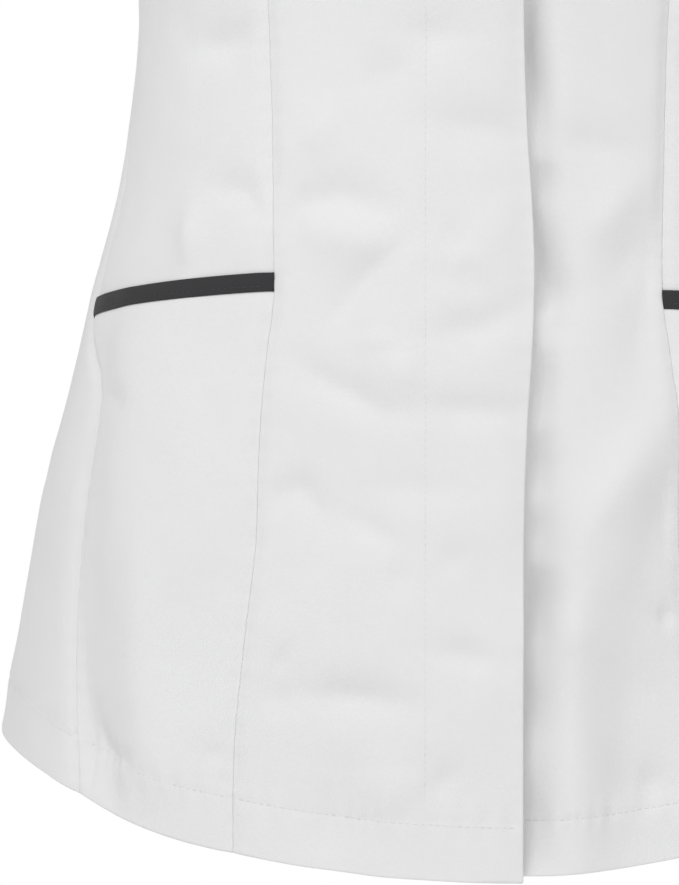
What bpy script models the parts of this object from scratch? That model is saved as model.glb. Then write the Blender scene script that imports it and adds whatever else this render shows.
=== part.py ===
"""A front-fastening scrub tunic, hollow, in the shape it has on its wearer.

Metres, +Z up. +X is the wearer's left, and the front faces -Y. The origin lies midway between
the two side neck points, where the wearer's shoulders carry the cloth.

Every piece is cut from one torso surface. A place on it has two coordinates. `around` goes round
the body in quarters, from 0 at the centre front to 1 at the wearer's left side, 2 at the centre
back and 3 (or -1) at the right side. `height` is z. The top of a side, where around is 1 or -1,
is the ridge of the shoulder, so the same two coordinates reach from the hem to the neck.
"""

import math

import bmesh
import bpy
import numpy as np

# Cloth
WALL = 0.0012
SEAM_GAP = 0.0003
LAYER_GAP = 0.0004
HEM_DEPTH = 0.025
HEM_STEP = 0.003

# Torso, from the shoulder's side neck point down to below the hem. A power of 2 makes a ring's
# front or back half an ellipse, and a higher one makes it squarer.
TORSO_COLUMNS = ("height", "half_width", "front_y", "back_y", "side_y", "front_power", "back_power")
TORSO = (
    (0.010, 0.053, -0.036, 0.056, 0.014, 2.00, 2.00),
    (0.000, 0.078, -0.041, 0.060, 0.013, 2.00, 2.00),
    (-0.020, 0.126, -0.050, 0.068, 0.011, 2.00, 2.00),
    (-0.040, 0.166, -0.058, 0.075, 0.009, 2.00, 2.00),
    (-0.060, 0.189, -0.066, 0.082, 0.008, 2.00, 2.10),
    (-0.080, 0.197, -0.075, 0.088, 0.007, 2.00, 2.20),
    (-0.120, 0.195, -0.092, 0.096, 0.006, 2.00, 2.30),
    (-0.160, 0.187, -0.107, 0.100, 0.005, 2.10, 2.40),
    (-0.205, 0.176, -0.119, 0.099, 0.004, 2.20, 2.40),
    (-0.260, 0.168, -0.126, 0.094, 0.003, 2.30, 2.35),
    (-0.320, 0.152, -0.118, 0.085, 0.001, 2.25, 2.25),
    (-0.392, 0.1373, -0.104, 0.079, 0.000, 2.15, 2.20),
    (-0.450, 0.1428, -0.107, 0.088, 0.000, 2.15, 2.20),
    (-0.520, 0.1584, -0.115, 0.107, 0.005, 2.20, 2.25),
    (-0.600, 0.1785, -0.123, 0.124, 0.018, 2.20, 2.30),
    (-0.700, 0.1970, -0.130, 0.136, 0.030, 2.20, 2.30),
    (-0.770, 0.2090, -0.134, 0.142, 0.034, 2.20, 2.30),
)

# Hem height by the distance round the body, the same on both sides
HEM_COLUMNS = ("around", "height")
HEM = (
    (0.00, -0.7432),
    (0.10, -0.7430),
    (0.20, -0.7408),
    (0.30, -0.7368),
    (0.40, -0.7320),
    (0.50, -0.7250),
    (0.60, -0.7165),
    (0.70, -0.7082),
    (0.80, -0.7022),
    (0.90, -0.6988),
    (1.00, -0.6975),
    (1.20, -0.7020),
    (1.45, -0.7160),
    (1.70, -0.7310),
    (2.00, -0.7380),
)

# Princess seam: how far it lies from the centre front
PRINCESS_COLUMNS = ("height", "x")
PRINCESS = (
    (-0.0235, 0.1336),
    (-0.050, 0.1220),
    (-0.090, 0.1100),
    (-0.140, 0.1000),
    (-0.200, 0.0945),
    (-0.260, 0.0920),
    (-0.330, 0.0870),
    (-0.393, 0.0819),
    (-0.450, 0.0797),
    (-0.510, 0.0787),
    (-0.536, 0.0818),
    (-0.570, 0.0843),
    (-0.610, 0.0858),
    (-0.650, 0.0904),
    (-0.700, 0.0946),
    (-0.760, 0.0952),
)

# Side seam: it swings to the front below the waist
SIDE_COLUMNS = ("height", "around")
SIDE = (
    (-0.205, 1.000),
    (-0.330, 0.990),
    (-0.420, 0.940),
    (-0.480, 0.870),
    (-0.520, 0.826),
    (-0.556, 0.750),
    (-0.605, 0.706),
    (-0.662, 0.656),
    (-0.720, 0.602),
    (-0.770, 0.580),
)

# Armhole: x by height, from the underarm to the end of the shoulder seam
SHOULDER_END = -0.052
UNDERARM = -0.205
ARMHOLE_COLUMNS = ("height", "front_x", "back_x")
ARMHOLE = (
    (-0.205, 0.1760, 0.1760),
    (-0.201, 0.1682, 0.1722),
    (-0.190, 0.1590, 0.1672),
    (-0.172, 0.1538, 0.1640),
    (-0.150, 0.1538, 0.1636),
    (-0.126, 0.1570, 0.1652),
    (-0.102, 0.1625, 0.1690),
    (-0.080, 0.1700, 0.1742),
    (-0.063, 0.1770, 0.1786),
)

# Neck
NECK_HALF_WIDTH = 0.078
FRONT_NECK_DROP = 0.085
BACK_NECK_DROP = 0.019
NECK_BINDING_WIDTH = 0.008
SHOULDER_SLOPE = 0.40

# Front fastening: the wearer's right front laps over the left one
LAP_EDGE = 0.0222
LAP_EDGE_SWELL = 0.0044
SWELL_HEIGHT = -0.505
SWELL_REACH = 0.060
UNDERLAP_EDGE = 0.020
LAP_DROP = 0.0026
LAP_RISE_START = -0.054
LAP_RISE_END = -0.024
EDGE_STAND = 0.0017
EDGE_WAVE = 0.4
EDGE_WAVE_LENGTH = 0.150
FRONT_EDGE_AROUND = 0.1
STUD_RADIUS = 0.0055
STUD_DEPTH = 0.0014
STUD_CLEARANCE = 0.0005
STUD_COUNT = 6
STUD_TOP = -0.1326
STUD_PITCH = 0.092
LAP_LIFT = 2 * STUD_CLEARANCE + STUD_DEPTH + WALL

# Pockets: a cloth layer from the bound mouth down to the hem
MOUTH_COLUMNS = ("place", "lower", "upper")
MOUTH = (
    ("front_edge", -0.5080, -0.5005),
    ("princess", -0.5098, -0.5028),
    ("side", -0.5236, -0.5166),
)
MOUTH_ARCH = 0.0018
LEFT_MOUTH_DROP = 0.0070
MOUTH_TUCK = 0.017
BINDING_PROUD = 0.0005

# Sleeves
SLEEVE_TILT = math.radians(32)
SLEEVE_LENGTH = 0.155
ARMHOLE_CENTRE = (0.175, 0.004, -0.125)
CUFF_DEPTH_RADIUS = 0.061
CUFF_WIDTH_RADIUS = 0.046
CUFF_HEM = 0.020
CUFF_RIPPLE = 0.035
CUFF_RIPPLE_COUNT = 3
CUFF_RIPPLE_TURN = 0.6
SLEEVE_START = (0.80, 0.0, -0.60)
SLEEVE_PULL = 0.85
SLEEVE_ROWS = 8
SLEEVE_GAP = 0.0005
NORMAL_STEP = 0.01

# Largest folds, each a ridge (or a trough, where its rise is negative) between two places
FOLD_COLUMNS = ("around_top", "height_top", "around_low", "height_low", "half_width", "rise")
FOLDS = (
    (-0.640, -0.540, -0.480, -0.700, 0.020, 0.0040),
    (-0.755, -0.545, -0.555, -0.700, 0.015, -0.0030),
    (0.345, -0.560, 0.150, -0.640, 0.016, 0.0050),
    (0.150, -0.650, 0.165, -0.735, 0.018, 0.0030),
    (0.330, -0.640, 0.250, -0.725, 0.024, -0.0045),
    (0.720, -0.560, 0.620, -0.700, 0.022, 0.0035),
    (0.115, -0.400, 0.118, -0.545, 0.008, -0.0016),
    (0.110, -0.560, 0.104, -0.735, 0.008, -0.0018),
    (0.930, -0.430, 0.970, -0.650, 0.022, -0.0030),
    (-0.960, -0.430, -1.000, -0.650, 0.022, -0.0008),
    (1.300, -0.400, 1.330, -0.700, 0.026, 0.0050),
    (1.560, -0.430, 1.530, -0.720, 0.022, -0.0050),
    (1.760, -0.380, 1.800, -0.725, 0.026, 0.0045),
    (2.060, -0.430, 2.020, -0.725, 0.024, -0.0045),
    (2.290, -0.390, 2.260, -0.725, 0.026, 0.0050),
    (2.520, -0.450, 2.560, -0.715, 0.022, -0.0045),
    (2.760, -0.400, 2.800, -0.700, 0.024, 0.0045),
    (1.450, -0.340, 1.800, -0.375, 0.016, 0.0030),
    (2.550, -0.335, 2.200, -0.380, 0.016, 0.0030),
    (0.560, -0.185, 0.430, -0.275, 0.018, 0.0030),
    (-0.560, -0.190, -0.420, -0.280, 0.018, 0.0030),
    (1.400, -0.150, 1.300, -0.260, 0.020, 0.0035),
    (2.610, -0.155, 2.700, -0.255, 0.020, 0.0035),
)
QUARTER_LENGTH = 0.24

# How finely a curve is stepped along before it is measured
CURVE_STEPS = 121
HEM_MEETING_STEPS = 30
ANGLES = np.linspace(0, math.pi / 2, 181)

# Rows of every panel, counted from the hem
ROW_HEM_FOLD = 1
ROW_ABOVE_HEM = 2
ROW_MOUTH_LOW = 9
ROW_MOUTH_TOP = 10
ROW_TUCK = 11
ROW_UNDERARM = 21
ROW_NECK = 25
ROW_TOP = 34
NECK_ROWS = ROW_TOP - ROW_NECK
CENTRE_COLUMNS = 7
SIDE_PANEL_COLUMNS = 7
BACK_NECK_COLUMNS = 7
BACK_SHOULDER_COLUMNS = 4
BACK_COLUMNS = 2 * (BACK_NECK_COLUMNS + BACK_SHOULDER_COLUMNS)

# Colours
CLOTH_WHITE = (0.80, 0.80, 0.81)
TRIM_CHARCOAL = (0.045, 0.045, 0.048)
STUD_WHITE = (0.75, 0.75, 0.75)


def column(table, names, name):
    """One named column of a table, as an array."""
    return np.array([row[names.index(name)] for row in table], float)


def smooth_through(places, values, at):
    """A curve through the given values that never overshoots them."""
    order = np.argsort(places)
    x, y = places[order], values[order]
    step = np.diff(x)
    slope = np.diff(y) / step
    tangent = np.zeros(len(x))
    tangent[0], tangent[-1] = slope[0], slope[-1]
    for i in range(1, len(x) - 1):
        if slope[i - 1] * slope[i] > 0:
            before, after = 2 * step[i] + step[i - 1], step[i] + 2 * step[i - 1]
            tangent[i] = (before + after) / (before / slope[i - 1] + after / slope[i])
    at = np.asarray(at, float)
    i = np.clip(np.searchsorted(x, at) - 1, 0, len(x) - 2)
    t = (at - x[i]) / step[i]
    rise_in, rise_out = t * (1 - t) ** 2, t * t * (t - 1)
    blend = t * t * (3 - 2 * t)
    return y[i] + blend * (y[i + 1] - y[i]) + step[i] * (rise_in * tangent[i] + rise_out * tangent[i + 1])


def ease(t):
    """0 up to 0, 1 from 1 on, and smooth between."""
    t = np.clip(t, 0, 1)
    return t * t * (3 - 2 * t)


def torso_size(name, height):
    heights = column(TORSO, TORSO_COLUMNS, "height")
    return smooth_through(heights, column(TORSO, TORSO_COLUMNS, name), height)


def quarter_arc(height, front):
    """A quarter of the ring at each height: x, distance from the side in y, and length so far."""
    half, side = torso_size("half_width", height), torso_size("side_y", height)
    depth = np.where(front, side - torso_size("front_y", height), torso_size("back_y", height) - side)
    power = np.where(front, torso_size("front_power", height), torso_size("back_power", height))
    x = half[:, None] * np.sin(ANGLES) ** (2 / power[:, None])
    y = depth[:, None] * np.cos(ANGLES) ** (2 / power[:, None])
    run = np.cumsum(np.hypot(np.diff(x), np.diff(y)), axis=1)
    return x, y, np.hstack([np.zeros((len(height), 1)), run])


def torso_points(around, height):
    """Points of the bare torso surface, for arrays of places on it."""
    around, height = np.broadcast_arrays(np.asarray(around, float) % 4, np.asarray(height, float))
    shape = around.shape
    around, height = around.ravel(), height.ravel()
    right = around > 2
    turn = np.where(right, 4 - around, around)
    front = turn <= 1
    x, y, run = quarter_arc(height, front)
    wanted = np.where(front, turn, 2 - turn) * run[:, -1]
    each = np.arange(len(height))
    i = np.clip((run < wanted[:, None]).sum(axis=1) - 1, 0, len(ANGLES) - 2)
    t = (wanted - run[each, i]) / (run[each, i + 1] - run[each, i])
    along_x = x[each, i] + t * (x[each, i + 1] - x[each, i])
    along_y = y[each, i] + t * (y[each, i + 1] - y[each, i])
    side = torso_size("side_y", height)
    points = [np.where(right, -along_x, along_x), side + np.where(front, -along_y, along_y), height]
    return np.stack(points, axis=1).reshape(shape + (3,))


def around_at(x, height, front=True):
    """The place round the body, from 0 to 1 or from 2 to 1, where the torso is x from its middle."""
    x, height = np.atleast_1d(np.asarray(x, float)), np.atleast_1d(np.asarray(height, float))
    ring_x, _, run = quarter_arc(height, np.full(len(height), front))
    share = np.array([np.interp(abs(a), xs, r / r[-1]) for a, xs, r in zip(x, ring_x, run)])
    return np.where(x < 0, -1, 1) * (share if front else 2 - share)


def torso_normals(around, height):
    """Outward normals of the bare torso surface."""
    small_turn, small_height = 0.02, 0.002
    ahead = torso_points(around + small_turn, height) - torso_points(around - small_turn, height)
    up = torso_points(around, height + small_height) - torso_points(around, height - small_height)
    normal = np.cross(ahead, up)
    return normal / np.linalg.norm(normal, axis=-1, keepdims=True)


def fold_rise(around, height):
    """How far the largest folds push the cloth out, or in where it is negative."""
    total = np.zeros(np.shape(around))
    for turn_top, top, turn_low, low, half_width, rise in FOLDS:
        off_x = ((around - turn_top + 2) % 4 - 2) * QUARTER_LENGTH
        off_z = height - top
        run_x, run_z = (turn_low - turn_top) * QUARTER_LENGTH, low - top
        share = np.clip((off_x * run_x + off_z * run_z) / (run_x**2 + run_z**2), 0, 1)
        distance = np.hypot(off_x - share * run_x, off_z - share * run_z)
        total = total + rise * np.exp(-((distance / half_width) ** 2))
    return total


def cloth(around, height, out=0.0):
    """Points of the folded cloth surface, moved outwards by `out`."""
    rise = (fold_rise(around, height) + out)[..., None]
    return torso_points(around, height) + torso_normals(around, height) * rise


def hem_height(around):
    """Height of the hem round the body."""
    turn = np.abs((np.asarray(around, float) + 2) % 4 - 2)
    places = column(HEM, HEM_COLUMNS, "around")
    return smooth_through(places, column(HEM, HEM_COLUMNS, "height"), turn)


def half_seam(height):
    """Half of the gap at a seam, as a share of the quarter ring there."""
    height = np.atleast_1d(height)
    run = quarter_arc(height, np.full(len(height), True))[2]
    return SEAM_GAP / 2 / run[:, -1]


def princess_turn(height, shift=0.0):
    """The princess seam's place round the body; shift moves it in metres, away from the centre."""
    heights = column(PRINCESS, PRINCESS_COLUMNS, "height")
    x = smooth_through(heights, column(PRINCESS, PRINCESS_COLUMNS, "x"), height)
    return around_at(x + shift, height)


def side_turn(height):
    heights = column(SIDE, SIDE_COLUMNS, "height")
    return smooth_through(heights, column(SIDE, SIDE_COLUMNS, "around"), height)


def lap_edge(height):
    """How far the lapping front's edge lies past the centre line."""
    return LAP_EDGE + LAP_EDGE_SWELL * np.exp(-(((height - SWELL_HEIGHT) / SWELL_REACH) ** 2))


def underlap_edge(height):
    """How far the other front reaches past the centre line, under the lapping one."""
    return np.full(np.shape(height), UNDERLAP_EDGE)


def lap_lift(around, height):
    """How far the lapping front stands off the other one."""
    x = torso_points(around, height)[..., 0]
    stacked = ease((x - LAP_RISE_START) / (LAP_RISE_END - LAP_RISE_START))
    edge = ease((x - STUD_RADIUS) / (LAP_EDGE - STUD_RADIUS))
    wave = 1 + EDGE_WAVE * np.sin(2 * math.pi * height / EDGE_WAVE_LENGTH)
    return LAP_LIFT * stacked + EDGE_STAND * edge * wave


def lower_heights(hem, mouth_low, mouth_top):
    """Heights of an edge's rows, from its hem to the underarm."""
    above = hem + HEM_DEPTH + HEM_STEP
    skirt = np.linspace(above, mouth_low, ROW_MOUTH_LOW - ROW_ABOVE_HEM + 1)
    bodice = np.linspace(mouth_top + MOUTH_TUCK, UNDERARM, ROW_UNDERARM - ROW_TUCK + 1)
    return np.concatenate([[hem, hem + HEM_DEPTH], skirt, [mouth_top], bodice])


def edge_rows(lower, turn_at, top):
    """An edge's rows as places: the lower heights, then even steps up the edge from the underarm."""
    dense = np.linspace(UNDERARM, top, CURVE_STEPS)
    upper = evenly(np.stack([turn_at(dense), dense], axis=1), ROW_TOP - ROW_UNDERARM + 1)
    return np.vstack([np.stack([turn_at(lower), lower], axis=1), upper[1:]])


def mouth(place, side):
    """The pocket mouth's lower and upper height at a seam."""
    drop = LEFT_MOUTH_DROP if side > 0 else 0.0
    low, top = next(row[1:] for row in MOUTH if row[0] == place)
    return low - drop, top - drop


def meet_hem(turn_at, start=-0.72):
    """The hem's height where a seam, given as around by height, reaches it."""
    height = start
    for _ in range(HEM_MEETING_STEPS):
        height = float(hem_height(turn_at(height)))
    return height


def evenly(places, count):
    """That many places at even distances along a line of close ones."""
    points = torso_points(places[:, 0], places[:, 1])
    run = np.append(0, np.cumsum(np.linalg.norm(np.diff(points, axis=0), axis=1)))
    at = np.linspace(0, run[-1], count)
    return np.stack([np.interp(at, run, places[:, i]) for i in (0, 1)], axis=1)


def neck_line(start, inset, columns, front=True):
    """Places along the neckline, or `inset` below it, from an angle to the shoulder; 0 is the centre."""
    angle = np.linspace(start, math.pi / 2, CURVE_STEPS)
    drop = FRONT_NECK_DROP if front else BACK_NECK_DROP
    shoulder = -SHOULDER_SLOPE * inset
    height = shoulder - (drop + inset + shoulder) * np.cos(angle)
    x = (NECK_HALF_WIDTH + inset) * np.sin(angle)
    return evenly(np.stack([around_at(x, height, front), height], axis=1), columns + 1)


def neck_angle(x, inset):
    """The neckline's angle where it is x past the centre."""
    return -math.asin(float(x) / (NECK_HALF_WIDTH + inset))


def princess_rows(side, shift):
    """The princess seam's rows as places: around and height."""
    hem = meet_hem(lambda h: float(princess_turn(h)[0]))
    ridge = PRINCESS[0][0] - SHOULDER_SLOPE * shift
    lower = lower_heights(hem, *mouth("princess", side))
    places = edge_rows(lower, lambda heights: princess_turn(heights, shift), ridge)
    places[-1, 0] = 1 - half_seam(ridge)[0]
    return places


def side_rows(side, front):
    """The side seam and armhole's rows as places, for the front panel or the back one."""
    hem = meet_hem(lambda h: float(side_turn(h)))
    sign = -1 if front else 1
    armhole = column(ARMHOLE, ARMHOLE_COLUMNS, "front_x" if front else "back_x")
    armhole_heights = column(ARMHOLE, ARMHOLE_COLUMNS, "height")

    def turn_at(heights):
        seam = side_turn(np.clip(heights, None, UNDERARM)) + sign * half_seam(heights)
        edge = around_at(smooth_through(armhole_heights, armhole, heights), heights, front)
        return np.where(heights > UNDERARM, edge, seam)

    places = edge_rows(lower_heights(hem, *mouth("side", side)), turn_at, SHOULDER_END)
    places[-1, 0] = 1 + sign * half_seam(SHOULDER_END)[0]
    return places


def front_edge_rows(side, reach):
    """The front edge's rows as places, then the neckline's, up to the shoulder.

    reach gives how far past the centre the edge lies, on the other side.
    """
    neck = neck_line(neck_angle(reach(-FRONT_NECK_DROP), NECK_BINDING_WIDTH), NECK_BINDING_WIDTH, NECK_ROWS)
    neck[-1, 0] = 1 - half_seam(neck[-1, 1])[0]
    lower = lower_heights(float(hem_height(FRONT_EDGE_AROUND)), *mouth("front_edge", side))
    chest = np.linspace(UNDERARM, neck[0, 1], ROW_NECK - ROW_UNDERARM + 1)
    heights = np.append(lower, chest[1:])
    edge = np.stack([-around_at(reach(heights), heights), heights], axis=1)
    return np.vstack([edge, neck[1:]])


def patch(left, right, columns, top=None):
    """Places of a panel between two edges, with the hem's curve below and, if given, a curved top."""
    share = np.linspace(0, 1, columns + 1)[None, :, None]
    grid = left[:, None] * (1 - share) + right[:, None] * share
    rows = np.arange(len(left))
    if top is not None:
        weight = ease((rows - ROW_UNDERARM) / (ROW_TOP - ROW_UNDERARM))[:, None, None]
        grid = grid + weight * (top - grid[-1])[None]
    follow = 1 - ease((rows - ROW_ABOVE_HEM) / (ROW_MOUTH_LOW - ROW_ABOVE_HEM))[:, None]
    grid[..., 1] += follow * (hem_height(grid[0, :, 0]) - grid[0, :, 1])[None]
    return grid


def new_material(name, colour, roughness):
    material = bpy.data.materials.new(name)
    material.use_nodes = True
    shader = material.node_tree.nodes["Principled BSDF"]
    shader.inputs["Base Color"].default_value = (*colour, 1.0)
    shader.inputs["Roughness"].default_value = roughness
    return material


def add_object(name, mesh, material, collection):
    mesh.materials.append(material)
    mesh.shade_smooth()
    mesh.set_sharp_from_angle(angle=math.radians(40))
    piece = bpy.data.objects.new(name, mesh)
    collection.objects.link(piece)
    return piece


def cloth_wall(name, outer, inner, material, collection, closed=False):
    """A cloth wall: a flat grid is extruded, then its two faces take the outer and inner points.

    outer and inner hold one point for each row and column. A closed wall is a tube, whose last
    column is joined to its first.
    """
    rows, columns = outer.shape[:2]
    across = columns if closed else columns - 1
    bm = bmesh.new()
    bmesh.ops.create_grid(bm, x_segments=across, y_segments=rows - 1, size=0.5)
    row, col = bm.verts.layers.int.new("row"), bm.verts.layers.int.new("column")
    for vert in bm.verts:
        vert[row] = round((vert.co.y + 0.5) * (rows - 1))
        vert[col] = round((vert.co.x + 0.5) * across)
    if closed:
        first = {v[row]: v for v in bm.verts if v[col] == 0}
        bmesh.ops.weld_verts(bm, targetmap={v: first[v[row]] for v in bm.verts if v[col] == across})
    made = bmesh.ops.extrude_face_region(bm, geom=bm.faces[:])
    within = {v for v in made["geom"] if isinstance(v, bmesh.types.BMVert)}
    for vert in bm.verts:
        points = inner if vert in within else outer
        vert.co = points[vert[row], vert[col]]
    bmesh.ops.recalc_face_normals(bm, faces=bm.faces)
    mesh = bpy.data.meshes.new(name)
    bm.to_mesh(mesh)
    bm.free()
    return add_object(name, mesh, material, collection)


def wall_depth(grid, wall=WALL):
    """How thick the cloth is at each row: double where the hem is turned up."""
    depth = np.full(grid.shape[:2], wall)
    depth[: ROW_HEM_FOLD + 1] *= 2
    return depth


def torso_panel(name, grid, out, depth, material, collection):
    """A wall over places of the torso; `out` is where its outer face lies."""
    outer = cloth(grid[..., 0], grid[..., 1], out)
    inner = cloth(grid[..., 0], grid[..., 1], out - depth)
    return cloth_wall(name, outer, inner, material, collection)


def centre_front(side, reach, lapping, material, collection):
    """One centre front, from the front edge to the princess seam; side is 1 on the wearer's left."""
    grid = patch(front_edge_rows(side, reach), princess_rows(side, -SEAM_GAP / 2), CENTRE_COLUMNS)
    grid[..., 0] *= side
    out = np.zeros(grid.shape[:2])
    if lapping:
        x = torso_points(grid[..., 0], grid[..., 1])[..., 0]
        drop = LAP_DROP * ease((x - LAP_RISE_START) / (LAP_EDGE - LAP_RISE_START))
        grid[: ROW_ABOVE_HEM + 1, :, 1] -= drop[: ROW_ABOVE_HEM + 1]
        out = lap_lift(grid[..., 0], grid[..., 1])
    name = "front_centre_left" if side > 0 else "front_centre_right"
    return torso_panel(name, grid, out, wall_depth(grid), material, collection)


def side_front(side, material, collection):
    """One side front, whose places it returns. Below the pocket mouth it lies behind the pocket."""
    grid = patch(princess_rows(side, SEAM_GAP / 2), side_rows(side, True), SIDE_PANEL_COLUMNS)
    grid[..., 0] *= side
    arch = MOUTH_ARCH * np.sin(np.linspace(0, math.pi, SIDE_PANEL_COLUMNS + 1))
    grid[ROW_MOUTH_LOW : ROW_TUCK, :, 1] += arch
    out = np.zeros(grid.shape[:2])
    out[:ROW_TUCK] = -WALL - LAYER_GAP
    name = "front_side_left" if side > 0 else "front_side_right"
    torso_panel(name, grid, out, wall_depth(grid), material, collection)
    return grid


def pocket(side, grid, cloth_material, trim_material, collection):
    """The pocket's outer layer, from the hem to its mouth, and the band that binds the mouth."""
    tag = "left" if side > 0 else "right"
    layer = grid[: ROW_MOUTH_LOW + 1].copy()
    rise = (layer[-1, :, 1] - layer[-2, :, 1])[:, None]
    layer[-1] -= (layer[-1] - layer[-2]) * SEAM_GAP / rise
    flush = np.zeros(layer.shape[:2])
    torso_panel(f"pocket_{tag}", layer, flush, np.full(layer.shape[:2], WALL), cloth_material, collection)
    low, top = grid[ROW_MOUTH_LOW], grid[ROW_MOUTH_TOP]
    band = np.stack([low, (low + top) / 2, top])
    proud = np.full(band.shape[:2], BINDING_PROUD)
    torso_panel(f"pocket_binding_{tag}", band, proud, proud + WALL, trim_material, collection)


def back_panel(material, collection):
    """The back, from one side seam round to the other."""
    left = side_rows(1, False)
    right = side_rows(-1, False)
    right[:, 0] = 4 - right[:, 0]
    neck = neck_line(0, NECK_BINDING_WIDTH, BACK_NECK_COLUMNS, front=False)[::-1]
    heights = np.linspace(SHOULDER_END, neck[0, 1], BACK_SHOULDER_COLUMNS + 1)
    ridge = np.stack([1 + half_seam(heights), heights], axis=1)
    half = np.vstack([ridge, neck[1:]])
    other = half[-2::-1].copy()
    other[:, 0] = 4 - other[:, 0]
    grid = patch(left, right, BACK_COLUMNS, np.vstack([half, other]))
    torso_panel("back", grid, np.zeros(grid.shape[:2]), wall_depth(grid), material, collection)


def neck_binding(reach, material, collection):
    """One band round the whole neck, from the lapping front's edge to the other front's."""
    insets = np.array([NECK_BINDING_WIDTH - SEAM_GAP, NECK_BINDING_WIDTH / 2, 0.0])
    rows = []
    for inset in insets:
        over = neck_angle(reach(-FRONT_NECK_DROP), inset)
        under = neck_angle(UNDERLAP_EDGE, inset)
        front_right = neck_line(over, inset, NECK_ROWS) * (-1, 1)
        back_left = neck_line(0, inset, BACK_NECK_COLUMNS, front=False) - (4, 0)
        back_right = (back_left + (4, 0)) * (-1, 1)
        front_left = neck_line(under, inset, NECK_ROWS) - (4, 0)
        rows.append(np.vstack([front_right, back_right[-2::-1], back_left[1:], front_left[-2::-1]]))
    grid = np.stack(rows)
    lapped = grid[..., 0] > -1
    lift = np.where(lapped, lap_lift(grid[..., 0], grid[..., 1]), 0.0)
    out = lift + BINDING_PROUD
    torso_panel("neck_binding", grid, out, np.full(out.shape, BINDING_PROUD + WALL), material, collection)


def armhole_ring(side):
    """The armhole as one closed ring of points: up the front from the underarm, and down the back."""
    front = side_rows(side, True)[ROW_UNDERARM:]
    back = side_rows(side, False)[ROW_UNDERARM:]
    turns = [front[:, 0], back[::-1][1:-1, 0]]
    heights = [front[:, 1], back[::-1][1:-1, 1]]
    turn, height = np.concatenate(turns), np.concatenate(heights)
    turn[0] = 1.0
    turn[len(front) - 1] = 1.0
    return cloth(side * turn, height)


def sleeve(side, material, collection):
    """A short set-in sleeve: rings that go over from the armhole's shape to an oval cuff."""
    start = armhole_ring(side)
    along = np.array([math.sin(SLEEVE_TILT) * side, 0, -math.cos(SLEEVE_TILT)])
    across = np.array([math.cos(SLEEVE_TILT) * side, 0, math.sin(SLEEVE_TILT)])
    centre = np.array(ARMHOLE_CENTRE) * (side, 1, 1) + SLEEVE_LENGTH * along
    spoke = start - np.array(ARMHOLE_CENTRE) * (side, 1, 1)
    angle = np.arctan2(spoke[:, 1], spoke @ across)
    ripple = 1 + CUFF_RIPPLE * np.cos(CUFF_RIPPLE_COUNT * angle + CUFF_RIPPLE_TURN * side)
    cuff = centre + ripple[:, None] * (
        CUFF_WIDTH_RADIUS * np.cos(angle)[:, None] * across
        + CUFF_DEPTH_RADIUS * np.sin(angle)[:, None] * np.array([0, 1.0, 0])
    )
    start_pull = np.array(SLEEVE_START) * (side, 1, 1)
    start = start + start_pull * SLEEVE_GAP
    reach = np.linalg.norm(cuff - start, axis=1, keepdims=True)
    hem_share = CUFF_HEM / SLEEVE_LENGTH
    shares = np.append(
        np.linspace(0, 1 - hem_share - HEM_STEP / SLEEVE_LENGTH, SLEEVE_ROWS), [1 - hem_share, 1.0]
    )

    def ring(t):
        a, b = (1 + 2 * t) * (1 - t) ** 2, t * (1 - t) ** 2
        c, d = t * t * (3 - 2 * t), t * t * (t - 1)
        return a * start + b * SLEEVE_PULL * reach * start_pull + c * cuff + d * SLEEVE_PULL * reach * along

    outer = np.stack([ring(t) for t in shares])
    ahead = np.stack([ring(min(t + NORMAL_STEP, 1)) - ring(max(t - NORMAL_STEP, 0)) for t in shares])
    round_it = np.roll(outer, -1, axis=1) - np.roll(outer, 1, axis=1)
    normal = np.cross(round_it, ahead) * side
    normal /= np.linalg.norm(normal, axis=-1, keepdims=True)
    middle = outer.mean(axis=1, keepdims=True)
    if ((outer - middle) * normal).sum() < 0:
        normal = -normal
    depth = np.full((len(shares), 1, 1), WALL)
    depth[-2:] *= 2
    name = "sleeve_left" if side > 0 else "sleeve_right"
    return cloth_wall(name, outer, outer - normal * depth, material, collection, closed=True)


def press_studs(material, collection):
    """Flat closed press studs on the centre line, hidden between the two fronts."""
    for i in range(STUD_COUNT):
        height = STUD_TOP - i * STUD_PITCH
        normal = torso_normals(np.array(0.0), np.array(height))
        place = cloth(np.array(0.0), np.array(height), STUD_CLEARANCE + STUD_DEPTH / 2)
        bm = bmesh.new()
        bmesh.ops.create_cone(
            bm, cap_ends=True, segments=16, radius1=STUD_RADIUS, radius2=STUD_RADIUS, depth=STUD_DEPTH
        )
        mesh = bpy.data.meshes.new(f"press_stud_{i + 1}")
        bm.to_mesh(mesh)
        bm.free()
        stud = add_object(f"press_stud_{i + 1}", mesh, material, collection)
        stud.location = place
        stud.rotation_euler = (math.acos(float(normal[2])), 0, 0)


def main():
    for old in list(bpy.data.objects):
        bpy.data.objects.remove(old)
    tunic = bpy.data.collections.new("scrub_tunic")
    bpy.context.scene.collection.children.link(tunic)
    white = new_material("cloth_white", CLOTH_WHITE, 0.85)
    charcoal = new_material("trim_charcoal", TRIM_CHARCOAL, 0.80)
    stud_white = new_material("stud_white", STUD_WHITE, 0.35)

    centre_front(-1, lap_edge, True, white, tunic)
    centre_front(1, underlap_edge, False, white, tunic)
    for side in (-1, 1):
        grid = side_front(side, white, tunic)
        pocket(side, grid, white, charcoal, tunic)
        sleeve(side, white, tunic)
    back_panel(white, tunic)
    neck_binding(lap_edge, white, tunic)
    press_studs(stud_white, tunic)


main()
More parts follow.
